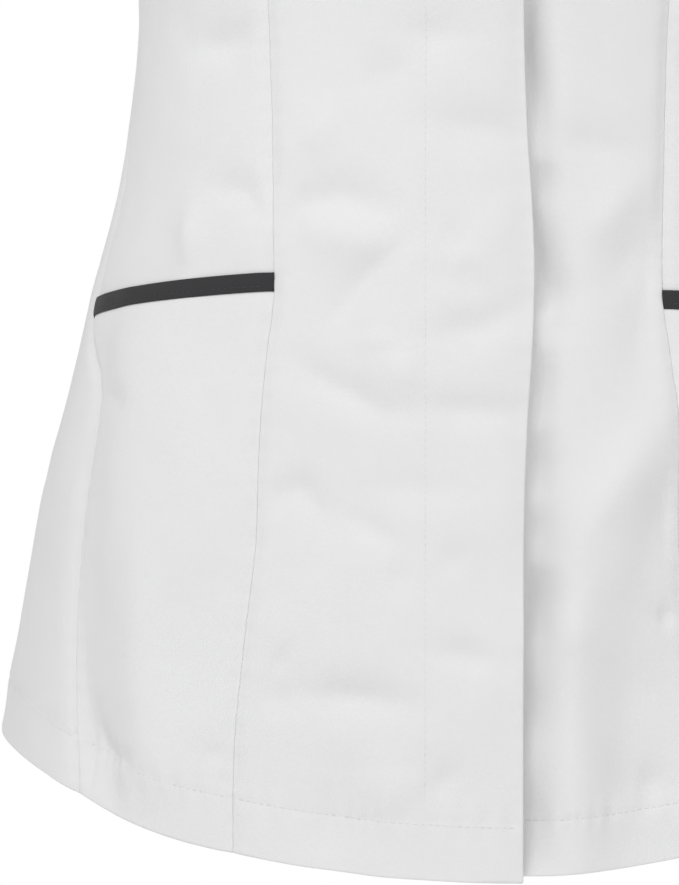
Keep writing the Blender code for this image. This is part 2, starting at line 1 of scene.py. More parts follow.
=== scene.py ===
# %% [markdown]
# # A scrub tunic
# The frame holds every piece of this tunic as a plain solid at its real size. Here each cloth piece
# gets the thin shell that the eye sees: folded edges, turned-up hems, creases, stitches and weave.
# The frame is loaded first, because each new cloth piece takes the place of one of its nodes, whose solid
# is then hidden.

# %% Load the frame
import math
from collections import namedtuple

import bmesh
import bpy
import numpy as np
from mathutils import Matrix, Vector


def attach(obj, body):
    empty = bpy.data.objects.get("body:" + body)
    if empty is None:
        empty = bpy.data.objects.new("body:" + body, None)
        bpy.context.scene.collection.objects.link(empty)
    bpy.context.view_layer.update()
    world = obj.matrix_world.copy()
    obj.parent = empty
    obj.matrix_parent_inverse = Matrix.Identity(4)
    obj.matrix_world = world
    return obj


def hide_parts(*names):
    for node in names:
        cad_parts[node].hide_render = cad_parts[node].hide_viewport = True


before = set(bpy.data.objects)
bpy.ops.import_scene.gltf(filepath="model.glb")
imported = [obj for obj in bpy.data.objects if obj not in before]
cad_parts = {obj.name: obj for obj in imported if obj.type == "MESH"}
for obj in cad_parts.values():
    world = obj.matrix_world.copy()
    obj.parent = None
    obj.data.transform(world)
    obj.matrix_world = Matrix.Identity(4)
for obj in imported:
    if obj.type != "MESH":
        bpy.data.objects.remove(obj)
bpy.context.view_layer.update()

print("nodes in the frame:", len(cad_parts))

# %% [markdown]
# ## Camera
# The picture is a close-up of the lower front, taken from straight ahead at about waist height. A long
# lens three metres away keeps the hem's curve as flat as it should look. The camera is turned a little
# to the left and down instead of being shifted, so that other views can reuse it.

# %% Camera
CAMERA_PLACE = (0.0, -3.0, -0.406)
CAMERA_LENS = 293.5
SENSOR_WIDTH = 36
LOOK_LEFT = math.radians(1.02)
LOOK_DOWN = math.radians(3.26)

camera_data = bpy.data.cameras.new("camera")
camera_data.lens = CAMERA_LENS
camera_data.sensor_width = SENSOR_WIDTH
camera = bpy.data.objects.new("camera", camera_data)
camera.location = CAMERA_PLACE
camera.rotation_euler = (math.pi / 2 - LOOK_DOWN, 0, LOOK_LEFT)
bpy.context.scene.collection.objects.link(camera)
bpy.context.scene.camera = camera
print("camera looks down", round(math.degrees(camera.rotation_euler.x) - 90, 2))

# %% [markdown]
# ## Light and floor
# White cloth on white is lit from nearly all round, and only a faint turn in the tone shows its folds.
# A pale surround gives most of the light. One large soft lamp, high at the front left, adds the slow
# shading across the folds and lets the overlap cast its soft shadow. Weak lamps on the right and on the
# left lift what it leaves dark, and one behind the tunic lights the back. What the camera sees behind
# the tunic is plain white, while the light that the surround gives is little over half as strong.

# %% Light and floor
SURROUND = 0.575
WHITE = (1, 1, 1, 1)
LIGHT_AIM = (0.0, -0.1, -0.5)
# Name, place, size and power
LAMPS = (
    ("key", (-0.92, -2.4, 2.1), 2.0, 52),
    ("fill", (1.6, -3.0, 0.3), 2.0, 10),
    ("side", (-3.0, 0.3, 0.2), 2.0, 3.9),
    ("back", (1.6, 2.4, 2.0), 1.0, 60),
)
FLOOR_HEIGHT = -1.45
FLOOR_RADIUS = 3.2
FLOOR_SIDES = 96
FLOOR_COLOUR = (0.86, 0.86, 0.86, 1)
FLOOR_ROUGHNESS = 0.9

bpy.context.scene.view_settings.view_transform = "Standard"
world = bpy.data.worlds.new("studio")
bpy.context.scene.world = world
world.use_nodes = True
nodes, links = world.node_tree.nodes, world.node_tree.links
surround = nodes["Background"]
surround.inputs["Strength"].default_value = SURROUND
surround.inputs["Color"].default_value = WHITE
backdrop = nodes.new("ShaderNodeBackground")
backdrop.inputs["Color"].default_value = WHITE
ray = nodes.new("ShaderNodeLightPath")
choose = nodes.new("ShaderNodeMixShader")
links.new(ray.outputs["Is Camera Ray"], choose.inputs[0])
links.new(surround.outputs[0], choose.inputs[1])
links.new(backdrop.outputs[0], choose.inputs[2])
links.new(choose.outputs[0], nodes["World Output"].inputs["Surface"])


def soft_lamp(name, place, size, power):
    """A round lamp that points at the tunic."""
    data = bpy.data.lights.new(name, "AREA")
    data.shape = "DISK"
    data.size = size
    data.energy = power
    lamp = bpy.data.objects.new(name, data)
    lamp.location = place
    lamp.rotation_euler = (Vector(LIGHT_AIM) - Vector(place)).to_track_quat("-Z", "Y").to_euler()
    bpy.context.scene.collection.objects.link(lamp)


for lamp in LAMPS:
    soft_lamp(*lamp)

bm = bmesh.new()
bmesh.ops.create_circle(bm, cap_ends=True, radius=FLOOR_RADIUS, segments=FLOOR_SIDES)
bmesh.ops.translate(bm, verts=bm.verts, vec=(0, 0, FLOOR_HEIGHT))
floor_mesh = bpy.data.meshes.new("floor")
bm.to_mesh(floor_mesh)
bm.free()
floor = bpy.data.objects.new("floor", floor_mesh)
bpy.context.scene.collection.objects.link(floor)
floor_material = bpy.data.materials.new("floor_pale")
floor_material.use_nodes = True
floor_shader = floor_material.node_tree.nodes["Principled BSDF"]
floor_shader.inputs["Base Color"].default_value = FLOOR_COLOUR
floor_shader.inputs["Roughness"].default_value = FLOOR_ROUGHNESS
floor_mesh.materials.append(floor_material)
print("lamps:", [o.name for o in bpy.context.scene.objects if o.type == "LIGHT"])

# %% [markdown]
# ## The torso surface
# A tailor fits flat panels to a form. Here the form is one smooth surface from the hem to the neck, and
# every panel is a region of it, so neighbours meet along their seams by themselves. A place on it is
# given by `around`, counted in quarters from the centre front, and by its height. Each ring is half an
# ellipse in front and half behind, or a slightly squarer oval. The sizes are those of the solids, but
# for the side seam's swing near the end of the pocket's mouth and the way the overlap's edge lies.

# %% Sizes of the torso
WALL = 0.0012
HEM_DEPTH = 0.025
# Pressed edges meet at a seam, so there the gap is a trace less than nothing
SEAM_GAP = -0.00004

TORSO_COLUMNS = ("height", "half_width", "front_y", "back_y", "side_y", "front_power", "back_power")
TORSO = (
    (0.010, 0.053, -0.036, 0.056, 0.014, 2.00, 2.00),
    (0.000, 0.078, -0.041, 0.060, 0.013, 2.00, 2.00),
    (-0.020, 0.126, -0.050, 0.068, 0.011, 2.00, 2.00),
    (-0.040, 0.166, -0.058, 0.075, 0.009, 2.00, 2.00),
    (-0.060, 0.189, -0.066, 0.082, 0.008, 2.00, 2.10),
    (-0.080, 0.197, -0.075, 0.088, 0.007, 2.00, 2.20),
    (-0.120, 0.195, -0.092, 0.096, 0.006, 2.00, 2.30),
    (-0.160, 0.187, -0.107, 0.100, 0.005, 2.10, 2.40),
    (-0.205, 0.176, -0.119, 0.099, 0.004, 2.20, 2.40),
    (-0.260, 0.168, -0.126, 0.094, 0.003, 2.30, 2.35),
    (-0.320, 0.152, -0.118, 0.085, 0.001, 2.25, 2.25),
    (-0.392, 0.1373, -0.104, 0.079, 0.000, 2.15, 2.20),
    (-0.450, 0.1428, -0.107, 0.088, 0.000, 2.15, 2.20),
    (-0.520, 0.1584, -0.115, 0.107, 0.005, 2.20, 2.25),
    (-0.600, 0.1785, -0.123, 0.124, 0.018, 2.20, 2.30),
    (-0.700, 0.1970, -0.130, 0.136, 0.030, 2.20, 2.30),
    (-0.770, 0.2090, -0.134, 0.142, 0.034, 2.20, 2.30),
)

# Hem height by the distance round the body, the same on both sides
HEM_COLUMNS = ("around", "height")
HEM = (
    (0.00, -0.7432),
    (0.10, -0.7430),
    (0.20, -0.7408),
    (0.30, -0.7368),
    (0.40, -0.7320),
    (0.50, -0.7250),
    (0.60, -0.7165),
    (0.70, -0.7082),
    (0.80, -0.7022),
    (0.90, -0.6988),
    (1.00, -0.6975),
    (1.20, -0.7020),
    (1.45, -0.7160),
    (1.70, -0.7310),
    (2.00, -0.7380),
)

# Princess seam: how far it lies from the centre front
PRINCESS_COLUMNS = ("height", "x")
PRINCESS = (
    (-0.0235, 0.1336),
    (-0.050, 0.1220),
    (-0.090, 0.1100),
    (-0.140, 0.1000),
    (-0.200, 0.0945),
    (-0.260, 0.0920),
    (-0.330, 0.0870),
    (-0.393, 0.0819),
    (-0.450, 0.0797),
    (-0.510, 0.0787),
    (-0.536, 0.0818),
    (-0.570, 0.0843),
    (-0.610, 0.0858),
    (-0.650, 0.0904),
    (-0.700, 0.0946),
    (-0.760, 0.0952),
)

# Side seam: it swings to the front below the waist
SIDE_COLUMNS = ("height", "around")
SIDE = (
    (-0.205, 1.000),
    (-0.330, 0.990),
    (-0.420, 0.940),
    (-0.480, 0.870),
    (-0.520, 0.860),
    (-0.556, 0.750),
    (-0.605, 0.706),
    (-0.662, 0.656),
    (-0.720, 0.602),
    (-0.770, 0.580),
)

# Armhole: x by height, from the underarm to the end of the shoulder seam
SHOULDER_END = -0.052
UNDERARM = -0.205
ARMHOLE_COLUMNS = ("height", "front_x", "back_x")
ARMHOLE = (
    (-0.205, 0.1760, 0.1760),
    (-0.201, 0.1682, 0.1722),
    (-0.190, 0.1590, 0.1672),
    (-0.172, 0.1538, 0.1640),
    (-0.150, 0.1538, 0.1636),
    (-0.126, 0.1570, 0.1652),
    (-0.102, 0.1625, 0.1690),
    (-0.080, 0.1700, 0.1742),
    (-0.063, 0.1770, 0.1786),
)

# %% Curves
def column(table, names, name):
    """One named column of a table, as an array."""
    return np.array([row[names.index(name)] for row in table], float)


def smooth_through(places, values, at):
    """A curve through the given values that never overshoots them."""
    order = np.argsort(places)
    x, y = places[order], values[order]
    step = np.diff(x)
    slope = np.diff(y) / step
    tangent = np.zeros(len(x))
    tangent[0], tangent[-1] = slope[0], slope[-1]
    for i in range(1, len(x) - 1):
        if slope[i - 1] * slope[i] > 0:
            before, after = 2 * step[i] + step[i - 1], step[i] + 2 * step[i - 1]
            tangent[i] = (before + after) / (before / slope[i - 1] + after / slope[i])
    at = np.asarray(at, float)
    i = np.clip(np.searchsorted(x, at) - 1, 0, len(x) - 2)
    t = (at - x[i]) / step[i]
    rise_in, rise_out = t * (1 - t) ** 2, t * t * (t - 1)
    blend = t * t * (3 - 2 * t)
    return y[i] + blend * (y[i + 1] - y[i]) + step[i] * (rise_in * tangent[i] + rise_out * tangent[i + 1])


def curve(table, names, name, at):
    """A named column of a table as a curve over the table's first column."""
    return smooth_through(column(table, names, names[0]), column(table, names, name), at)


def ease(t):
    """0 up to 0, 1 from 1 on, and smooth between."""
    t = np.clip(t, 0, 1)
    return t * t * (3 - 2 * t)


def bell(distance, reach):
    """1 at no distance, about a third at the reach, and next to nothing beyond twice the reach."""
    return np.exp(-((distance / reach) ** 2))


def short_way(turn):
    """A turn round the body in quarters, taken the short way, from -2 to 2."""
    return (turn + 2) % 4 - 2


print("half width at the waist:", curve(TORSO, TORSO_COLUMNS, "half_width", -0.392), "m")

# %% Rings of the torso
ANGLES = np.linspace(0, math.pi / 2, 181)
SHARES = np.linspace(0, 1, 241)
LEVELS = np.linspace(-0.80, 0.02, 411)


def torso_size(name, height):
    """One of the torso's sizes at each height."""
    return curve(TORSO, TORSO_COLUMNS, name, height)


def ring_sizes(height, front):
    """Half width, depth and power of the front or back half ring at each height."""
    side = torso_size("side_y", height)
    depth = np.where(front, side - torso_size("front_y", height), torso_size("back_y", height) - side)
    power = np.where(front, torso_size("front_power", height), torso_size("back_power", height))
    return torso_size("half_width", height), depth, power


def ring_runs(front):
    """Length so far along the quarter ring of each level, for every angle."""
    half, depth, power = ring_sizes(LEVELS, front)
    x = half[:, None] * np.sin(ANGLES) ** (2 / power[:, None])
    y = depth[:, None] * np.cos(ANGLES) ** (2 / power[:, None])
    run = np.cumsum(np.hypot(np.diff(x), np.diff(y)), axis=1)
    return np.hstack([np.zeros((len(LEVELS), 1)), run])


RUNS = {front: ring_runs(front) for front in (True, False)}
SHARE_OF_ANGLE = {front: run / run[:, -1:] for front, run in RUNS.items()}
ANGLE_OF_SHARE = {
    front: np.array([np.interp(SHARES, row, ANGLES) for row in table])
    for front, table in SHARE_OF_ANGLE.items()
}

print("levels by angles:", RUNS[True].shape)

# %% Places on the torso
def look_up(table, height, at, scale):
    """Reads a table of levels by columns between its entries; `scale` turns `at` into columns."""
    # Places stay a trace inside the last cell, so that the entries after them exist
    row = np.clip((height - LEVELS[0]) / (LEVELS[1] - LEVELS[0]), 0, len(LEVELS) - 1.001)
    col = np.clip(at * scale, 0, table.shape[1] - 1.001)
    i, j = row.astype(int), col.astype(int)
    s, t = row - i, col - j
    low = table[i, j] * (1 - t) + table[i, j + 1] * t
    high = table[i + 1, j] * (1 - t) + table[i + 1, j + 1] * t
    return low * (1 - s) + high * s


def quarter_length(height, front=True):
    """Length of a quarter of the ring at each height."""
    return np.interp(height, LEVELS, RUNS[front][:, -1])


def torso_points(around, height):
    """Points of the bare torso surface, for arrays of places on it."""
    around, height = np.broadcast_arrays(np.asarray(around, float) % 4, np.asarray(height, float))
    right = around > 2
    turn = np.where(right, 4 - around, around)
    front = turn <= 1
    share = np.where(front, turn, 2 - turn)
    angle = np.where(
        front,
        look_up(ANGLE_OF_SHARE[True], height, share, len(SHARES) - 1),
        look_up(ANGLE_OF_SHARE[False], height, share, len(SHARES) - 1),
    )
    half, depth, power = ring_sizes(height, front)
    x = half * np.sin(angle) ** (2 / power)
    y = depth * np.clip(np.cos(angle), 0, 1) ** (2 / power)
    points = [np.where(right, -x, x), torso_size("side_y", height) + np.where(front, -y, y), height]
    return np.stack(points, axis=-1)


def around_at(x, height, front=True):
    """The place round the body, from 0 to 1 or from 2 to 1, where the torso is x from its middle."""
    x, height = np.broadcast_arrays(np.atleast_1d(np.asarray(x, float)), np.asarray(height, float))
    half, _, power = ring_sizes(height, front)
    angle = np.arcsin(np.clip(np.abs(x) / half, 0, 1) ** (power / 2))
    share = look_up(SHARE_OF_ANGLE[front], height, angle, (len(ANGLES) - 1) / ANGLES[-1])
    return np.where(x < 0, -1, 1) * (share if front else 2 - share)


def torso_normals(around, height):
    """Outward normals of the bare torso surface."""
    small_turn, small_height = 0.02, 0.002
    ahead = torso_points(around + small_turn, height) - torso_points(around - small_turn, height)
    up = torso_points(around, height + small_height) - torso_points(around, height - small_height)
    normal = np.cross(ahead, up)
    return normal / np.linalg.norm(normal, axis=-1, keepdims=True)


print("quarter ring at the hem:", round(float(quarter_length(-0.74)), 3), "m")

# %% [markdown]
# ## Seams, hem, neck and armholes
# These are the lines a maker would chalk on the form. A panel's two long edges are lists of places,
# one for each row, so that rows at the hem, the pocket mouth and the underarm line up across a seam.
# Rows are close together where the cloth is folded or stitched and wider apart where it lies plain.

# %% Sizes of the seams and openings
# Neck
NECK_HALF_WIDTH = 0.078
FRONT_NECK_DROP = 0.085
BACK_NECK_DROP = 0.019
NECK_BINDING_WIDTH = 0.008
SHOULDER_SLOPE = 0.40

# Front fastening: the wearer's right front laps over the left one
LAP_EDGE = 0.0222
LAP_EDGE_SWELL = 0.0044
SWELL_HEIGHT = -0.505
SWELL_REACH = 0.060
UNDERLAP_EDGE = 0.020
LAP_DROP = 0.0026
LAP_RISE_START = -0.054
LAP_RISE_END = -0.024
# Its thin cloth leans in a little at the edge, more at some heights than at others
EDGE_STAND = -0.0006
EDGE_WAVE = 0.4
EDGE_WAVE_LENGTH = 0.150
FRONT_EDGE_AROUND = 0.1
STUD_RADIUS = 0.0055
STUD_DEPTH = 0.0014
STUD_CLEARANCE = 0.0005
STUD_COUNT = 6
STUD_TOP = -0.1326
STUD_PITCH = 0.092
LAP_LIFT = 2 * STUD_CLEARANCE + STUD_DEPTH + WALL

# Pockets: where the mouth's lower and upper edge meet each line
MOUTH = (
    ("front_edge", -0.5080, -0.5005),
    ("princess", -0.5098, -0.5028),
    ("side", -0.5236, -0.5166),
)
MOUTH_ARCH = 0.0018
LEFT_MOUTH_DROP = 0.0070
MOUTH_TUCK = 0.017
BINDING_PROUD = 0.0005

# Sleeves
SLEEVE_TILT = math.radians(32)
SLEEVE_LENGTH = 0.155
ARMHOLE_CENTRE = (0.175, 0.004, -0.125)
CUFF_DEPTH_RADIUS = 0.061
CUFF_WIDTH_RADIUS = 0.046
CUFF_HEM = 0.020
CUFF_RIPPLE = 0.035
CUFF_RIPPLE_COUNT = 3
CUFF_RIPPLE_TURN = 0.6
SLEEVE_START = (0.80, 0.0, -0.60)
SLEEVE_PULL = 0.85
SLEEVE_GAP = 0.0001

# Largest folds: around and height of the upper end and of the lower one, half width, and rise,
# which is negative for a trough
FOLDS = (
    (-0.640, -0.540, -0.480, -0.700, 0.020, 0.0040),
    (-0.755, -0.545, -0.555, -0.700, 0.015, -0.0030),
    (0.345, -0.560, 0.150, -0.640, 0.016, 0.0050),
    (0.150, -0.650, 0.165, -0.735, 0.018, 0.0030),
    (0.330, -0.640, 0.250, -0.725, 0.024, -0.0045),
    (0.720, -0.560, 0.620, -0.700, 0.022, 0.0035),
    (0.115, -0.400, 0.118, -0.545, 0.008, -0.0016),
    (0.110, -0.560, 0.104, -0.735, 0.008, -0.0018),
    (0.930, -0.430, 0.970, -0.650, 0.022, -0.0030),
    (-0.960, -0.430, -1.000, -0.650, 0.022, -0.0008),
    (1.300, -0.400, 1.330, -0.700, 0.026, 0.0050),
    (1.560, -0.430, 1.530, -0.720, 0.022, -0.0050),
    (1.760, -0.380, 1.800, -0.725, 0.026, 0.0045),
    (2.060, -0.430, 2.020, -0.725, 0.024, -0.0045),
    (2.290, -0.390, 2.260, -0.725, 0.026, 0.0050),
    (2.520, -0.450, 2.560, -0.715, 0.022, -0.0045),
    (2.760, -0.400, 2.800, -0.700, 0.024, 0.0045),
    (1.450, -0.340, 1.800, -0.375, 0.016, 0.0030),
    (2.550, -0.335, 2.200, -0.380, 0.016, 0.0030),
    (0.560, -0.185, 0.430, -0.275, 0.018, 0.0030),
    (-0.560, -0.190, -0.420, -0.280, 0.018, 0.0030),
    (1.400, -0.150, 1.300, -0.260, 0.020, 0.0035),
    (2.610, -0.155, 2.700, -0.255, 0.020, 0.0035),
)
QUARTER_LENGTH = 0.24

# %% Rows of a panel
Rows = namedtuple("Rows", "skirt mouth bodice chest neck")
FRONT_ROWS = Rows(skirt=84, mouth=4, bodice=128, chest=34, neck=44)
BACK_ROWS = Rows(skirt=56, mouth=3, bodice=86, chest=20, neck=34)

# How far above the hem each of the lowest rows is, and its share of the half turn round the fold
TURNED_UP = (
    (0.0250, 1.0), (0.0222, 1.0), (0.0170, 1.0), (0.0110, 1.0), (0.0050, 1.0), (0.0020, 1.0),
    (0.0, 1.0), (0.0, 0.75), (0.0, 0.5), (0.0, 0.25), (0.0, 0.0),
)
HEM_STITCH = 0.0222
HEM_FACE = (
    0.0014, 0.0026, 0.0045, 0.0070, 0.0100, 0.0130, 0.0160, 0.0185, 0.0202, 0.0212, 0.0218,
    HEM_STITCH, 0.0226, 0.0232, 0.0242, 0.0258, 0.0280,
)
TOP_MARGIN = (0.016, 0.008, 0.004, 0.0015, 0.0)
HEM_ROW = len(TURNED_UP) - 1
STITCH_ROW = HEM_ROW + 1 + HEM_FACE.index(HEM_STITCH)
CURVE_STEPS = 241
ABOVE_HEM_ROW = HEM_ROW + len(HEM_FACE)


def hem_height(around):
    """Height of the hem round the body."""
    return curve(HEM, HEM_COLUMNS, "height", np.abs(short_way(np.asarray(around, float))))


def half_seam(height):
    """Half of the gap at a seam, as a share of the quarter ring there."""
    return SEAM_GAP / 2 / quarter_length(height)


def lower_heights(hem, mouth_low, mouth_top, rows):
    """Heights of an edge's rows, from the free edge of its turned-up hem to the underarm."""
    near_hem = hem + np.array([distance for distance, _ in TURNED_UP] + list(HEM_FACE))
    skirt = np.linspace(near_hem[-1], mouth_low, rows.skirt + 1)[1:]
    band = np.linspace(mouth_low, mouth_top, rows.mouth + 1)[1:]
    bodice = np.linspace(mouth_top, UNDERARM, rows.bodice + 1)[1:]
    return np.concatenate([near_hem, skirt, band, bodice])


def mouth_row(rows):
    """The row along the lower edge of the pocket's binding."""
    return ABOVE_HEM_ROW + rows.skirt


def underarm_row(rows):
    """The row at the height of the underarm."""
    return mouth_row(rows) + rows.mouth + rows.bodice


def up_to_top(count):
    """Shares along an upper edge, in even steps that become short at the top."""
    even = np.linspace(0, 1 - TOP_MARGIN[0], count + 1)[1:-1]
    return np.append(even, 1 - np.array(TOP_MARGIN))


def places_along(places, shares):
    """Places at the given shares of the length of a line of close places."""
    points = torso_points(places[:, 0], places[:, 1])
    run = np.append(0, np.cumsum(np.linalg.norm(np.diff(points, axis=0), axis=1)))
    return np.stack([np.interp(shares * run[-1], run, places[:, i]) for i in (0, 1)], axis=1)


def edge_places(lower, turn_at, top, rows):
    """An edge's rows as places: the lower heights, then steps up the edge from the underarm."""
    dense = np.linspace(UNDERARM, top, CURVE_STEPS)
    upper = places_along(np.stack([turn_at(dense), dense], axis=1), up_to_top(rows.chest + rows.neck))
    return np.vstack([np.stack([turn_at(lower), lower], axis=1), upper])


print("rows of a front:", underarm_row(FRONT_ROWS) + 1, "up to the underarm")

# %% Seam lines
def princess_turn(height, shift=0.0):
    """The princess seam's place round the body; shift moves it in metres, away from the centre."""
    return around_at(curve(PRINCESS, PRINCESS_COLUMNS, "x", height) + shift, height)


def side_turn(height):
    """The side seam's place round the body."""
    return curve(SIDE, SIDE_COLUMNS, "around", height)


def lap_edge(height):
    """How far the lapping front's edge lies past the centre line."""
    return LAP_EDGE + LAP_EDGE_SWELL * bell(height - SWELL_HEIGHT, SWELL_REACH)


def underlap_edge(height):
    """How far the other front reaches past the centre line, under the lapping one."""
    return np.full(np.shape(height), UNDERLAP_EDGE)


def lap_lift(around, height):
    """How far the lapping front stands off the torso, which the other front lies on."""
    x = torso_points(around, height)[..., 0]
    stacked = ease((x - LAP_RISE_START) / (LAP_RISE_END - LAP_RISE_START))
    edge = ease((x - STUD_RADIUS) / (LAP_EDGE - STUD_RADIUS))
    wave = 1 + EDGE_WAVE * np.sin(2 * math.pi * height / EDGE_WAVE_LENGTH)
    return LAP_LIFT * stacked + EDGE_STAND * edge * wave


def mouth(place, side):
    """The pocket mouth's lower and upper height at a seam."""
    drop = LEFT_MOUTH_DROP if side > 0 else 0.0
    low, top = next(row[1:] for row in MOUTH if row[0] == place)
    return low - drop, top - drop


def meet_hem(turn_at, start=-0.72, steps=30):
    """The hem's height where a seam, given as around by height, reaches it."""
    height = start
    for _ in range(steps):
        height = float(hem_height(turn_at(height)).item())
    return height


def neck_line(start, inset, shares, front=True):
    """Places along the neckline, or `inset` below it, from an angle to the shoulder; 0 is the centre."""
    angle = np.linspace(start, math.pi / 2, CURVE_STEPS)
    drop = FRONT_NECK_DROP if front else BACK_NECK_DROP
    shoulder = -SHOULDER_SLOPE * inset
    height = shoulder - (drop + inset + shoulder) * np.cos(angle)
    x = (NECK_HALF_WIDTH + inset) * np.sin(angle)
    return places_along(np.stack([around_at(x, height, front), height], axis=1), shares)


def neck_angle(x, inset):
    """The neckline's angle where it is x past the centre."""
    return -math.asin(float(x) / (NECK_HALF_WIDTH + inset))


print("lap edge lies", round(float(lap_edge(-0.5)) * 1000, 1), "mm past the centre at the waist")

# %% Long edges of the panels
def princess_edge(side, shift):
    """The princess seam's rows as places."""
    hem = meet_hem(princess_turn)
    ridge = PRINCESS[0][0] - SHOULDER_SLOPE * shift
    lower = lower_heights(hem, *mouth("princess", side), FRONT_ROWS)
    places = edge_places(lower, lambda heights: princess_turn(heights, shift), ridge, FRONT_ROWS)
    places[-1, 0] = 1 - half_seam(ridge)
    return places


def side_edge(side, front):
    """The side seam and armhole's rows as places, for the front panel or the back one."""
    rows = FRONT_ROWS if front else BACK_ROWS
    sign = -1 if front else 1

    def turn_at(heights):
        seam = side_turn(np.clip(heights, None, UNDERARM)) + sign * half_seam(heights)
        hole = curve(ARMHOLE, ARMHOLE_COLUMNS, "front_x" if front else "back_x", heights)
        return np.where(heights > UNDERARM, around_at(hole, heights, front), seam)

    lower = lower_heights(meet_hem(side_turn), *mouth("side", side), rows)
    places = edge_places(lower, turn_at, SHOULDER_END, rows)
    places[-1, 0] = 1 + sign * half_seam(SHOULDER_END)
    return places


def front_edge(side, reach):
    """The front edge's rows as places, then the neckline's, up to the shoulder."""
    start = neck_angle(reach(-FRONT_NECK_DROP), NECK_BINDING_WIDTH)
    neck = neck_line(start, NECK_BINDING_WIDTH, np.append(0, up_to_top(FRONT_ROWS.neck)))
    neck[-1, 0] = 1 - half_seam(neck[-1, 1])
    hem = float(hem_height(FRONT_EDGE_AROUND))
    lower = lower_heights(hem, *mouth("front_edge", side), FRONT_ROWS)
    chest = np.linspace(UNDERARM, neck[0, 1], FRONT_ROWS.chest + 1)[1:]
    heights = np.append(lower, chest)
    edge = np.stack([-around_at(reach(heights), heights), heights], axis=1)
    return np.vstack([edge, neck[1:]])


print("places on the princess seam:", len(princess_edge(-1, 0.0)))

# %% [markdown]
# ## Folds, creases and unevenness
# Three sizes of form lie on the smooth torso. The large folds are in the solids too, and are repeated
# here. The creases are listed one by one, each a short bent line with its own width and rise, because
# pressed and worn cotton creases where it was bent and not at random. Last comes a slow unevenness of
# a fraction of a millimetre, a sum of waves, which keeps the plain cloth from looking like paper.

# %% Creases of the fronts
# Each crease: its rise, negative where the cloth sinks, its half width, and x and height of its corners
LAPPING_CREASES = (
    (-0.0010, 0.0070, (-0.045, -0.427), (-0.033, -0.423), (-0.021, -0.419)),
    (-0.0010, 0.0060, (-0.027, -0.407), (0.001, -0.407)),
    (-0.0017, 0.0070, (-0.014, -0.442), (0.005, -0.445), (0.023, -0.449)),
    (-0.0018, 0.0060, (-0.078, -0.495), (-0.067, -0.475), (-0.051, -0.472), (-0.032, -0.477)),
    (-0.0015, 0.0050, (-0.023, -0.489), (-0.039, -0.502), (-0.055, -0.521)),
    (-0.0017, 0.0060, (-0.015, -0.527), (0.005, -0.524), (0.025, -0.515)),
    (-0.0018, 0.0050, (-0.069, -0.538), (-0.061, -0.544), (-0.047, -0.551), (-0.033, -0.558),
     (-0.024, -0.559)),
    (-0.0015, 0.0050, (-0.017, -0.556), (0.013, -0.558), (0.025, -0.559)),
    (-0.0008, 0.0060, (-0.011, -0.485), (0.001, -0.491)),
    (-0.0008, 0.0050, (-0.015, -0.503), (0.009, -0.508)),
    (-0.0016, 0.0050, (-0.081, -0.593), (-0.067, -0.589), (-0.057, -0.603)),
    (-0.0013, 0.0050, (-0.049, -0.598), (-0.033, -0.608), (-0.026, -0.611)),
    (-0.0008, 0.0060, (-0.047, -0.589), (0.005, -0.589)),
    (-0.0009, 0.0060, (-0.013, -0.614), (0.001, -0.620)),
    (-0.0009, 0.0060, (-0.033, -0.624), (-0.021, -0.625)),
    (-0.0015, 0.0050, (-0.015, -0.653), (-0.001, -0.655), (0.011, -0.659)),
    (-0.0010, 0.0060, (-0.084, -0.674), (-0.070, -0.672)),
    (-0.0020, 0.0055, (-0.066, -0.671), (-0.043, -0.672), (-0.023, -0.675)),
    (-0.0010, 0.0060, (-0.079, -0.657), (-0.071, -0.660)),
    (-0.0010, 0.0060, (-0.015, -0.702), (-0.005, -0.709)),
    (-0.0015, 0.0070, (-0.053, -0.703), (-0.055, -0.737)),
    (0.0013, 0.0080, (-0.031, -0.699), (-0.029, -0.719)),
    (0.0011, 0.0060, (-0.033, -0.539), (-0.019, -0.545)),
    (0.0013, 0.0080, (-0.067, -0.453), (-0.051, -0.437)),
    (0.0012, 0.0070, (-0.067, -0.485), (-0.027, -0.493)),
    (0.0010, 0.0090, (-0.011, -0.509), (0.021, -0.473)),
    (0.0009, 0.0060, (-0.037, -0.525), (-0.037, -0.534)),
    (-0.0015, 0.0090, (-0.075, -0.300), (-0.045, -0.318)),
    (0.0014, 0.0090, (-0.060, -0.350), (-0.025, -0.362)),
    (-0.0016, 0.0090, (-0.060, -0.250), (-0.030, -0.240)),
    (0.0014, 0.0110, (-0.080, -0.170), (-0.050, -0.235)),
)
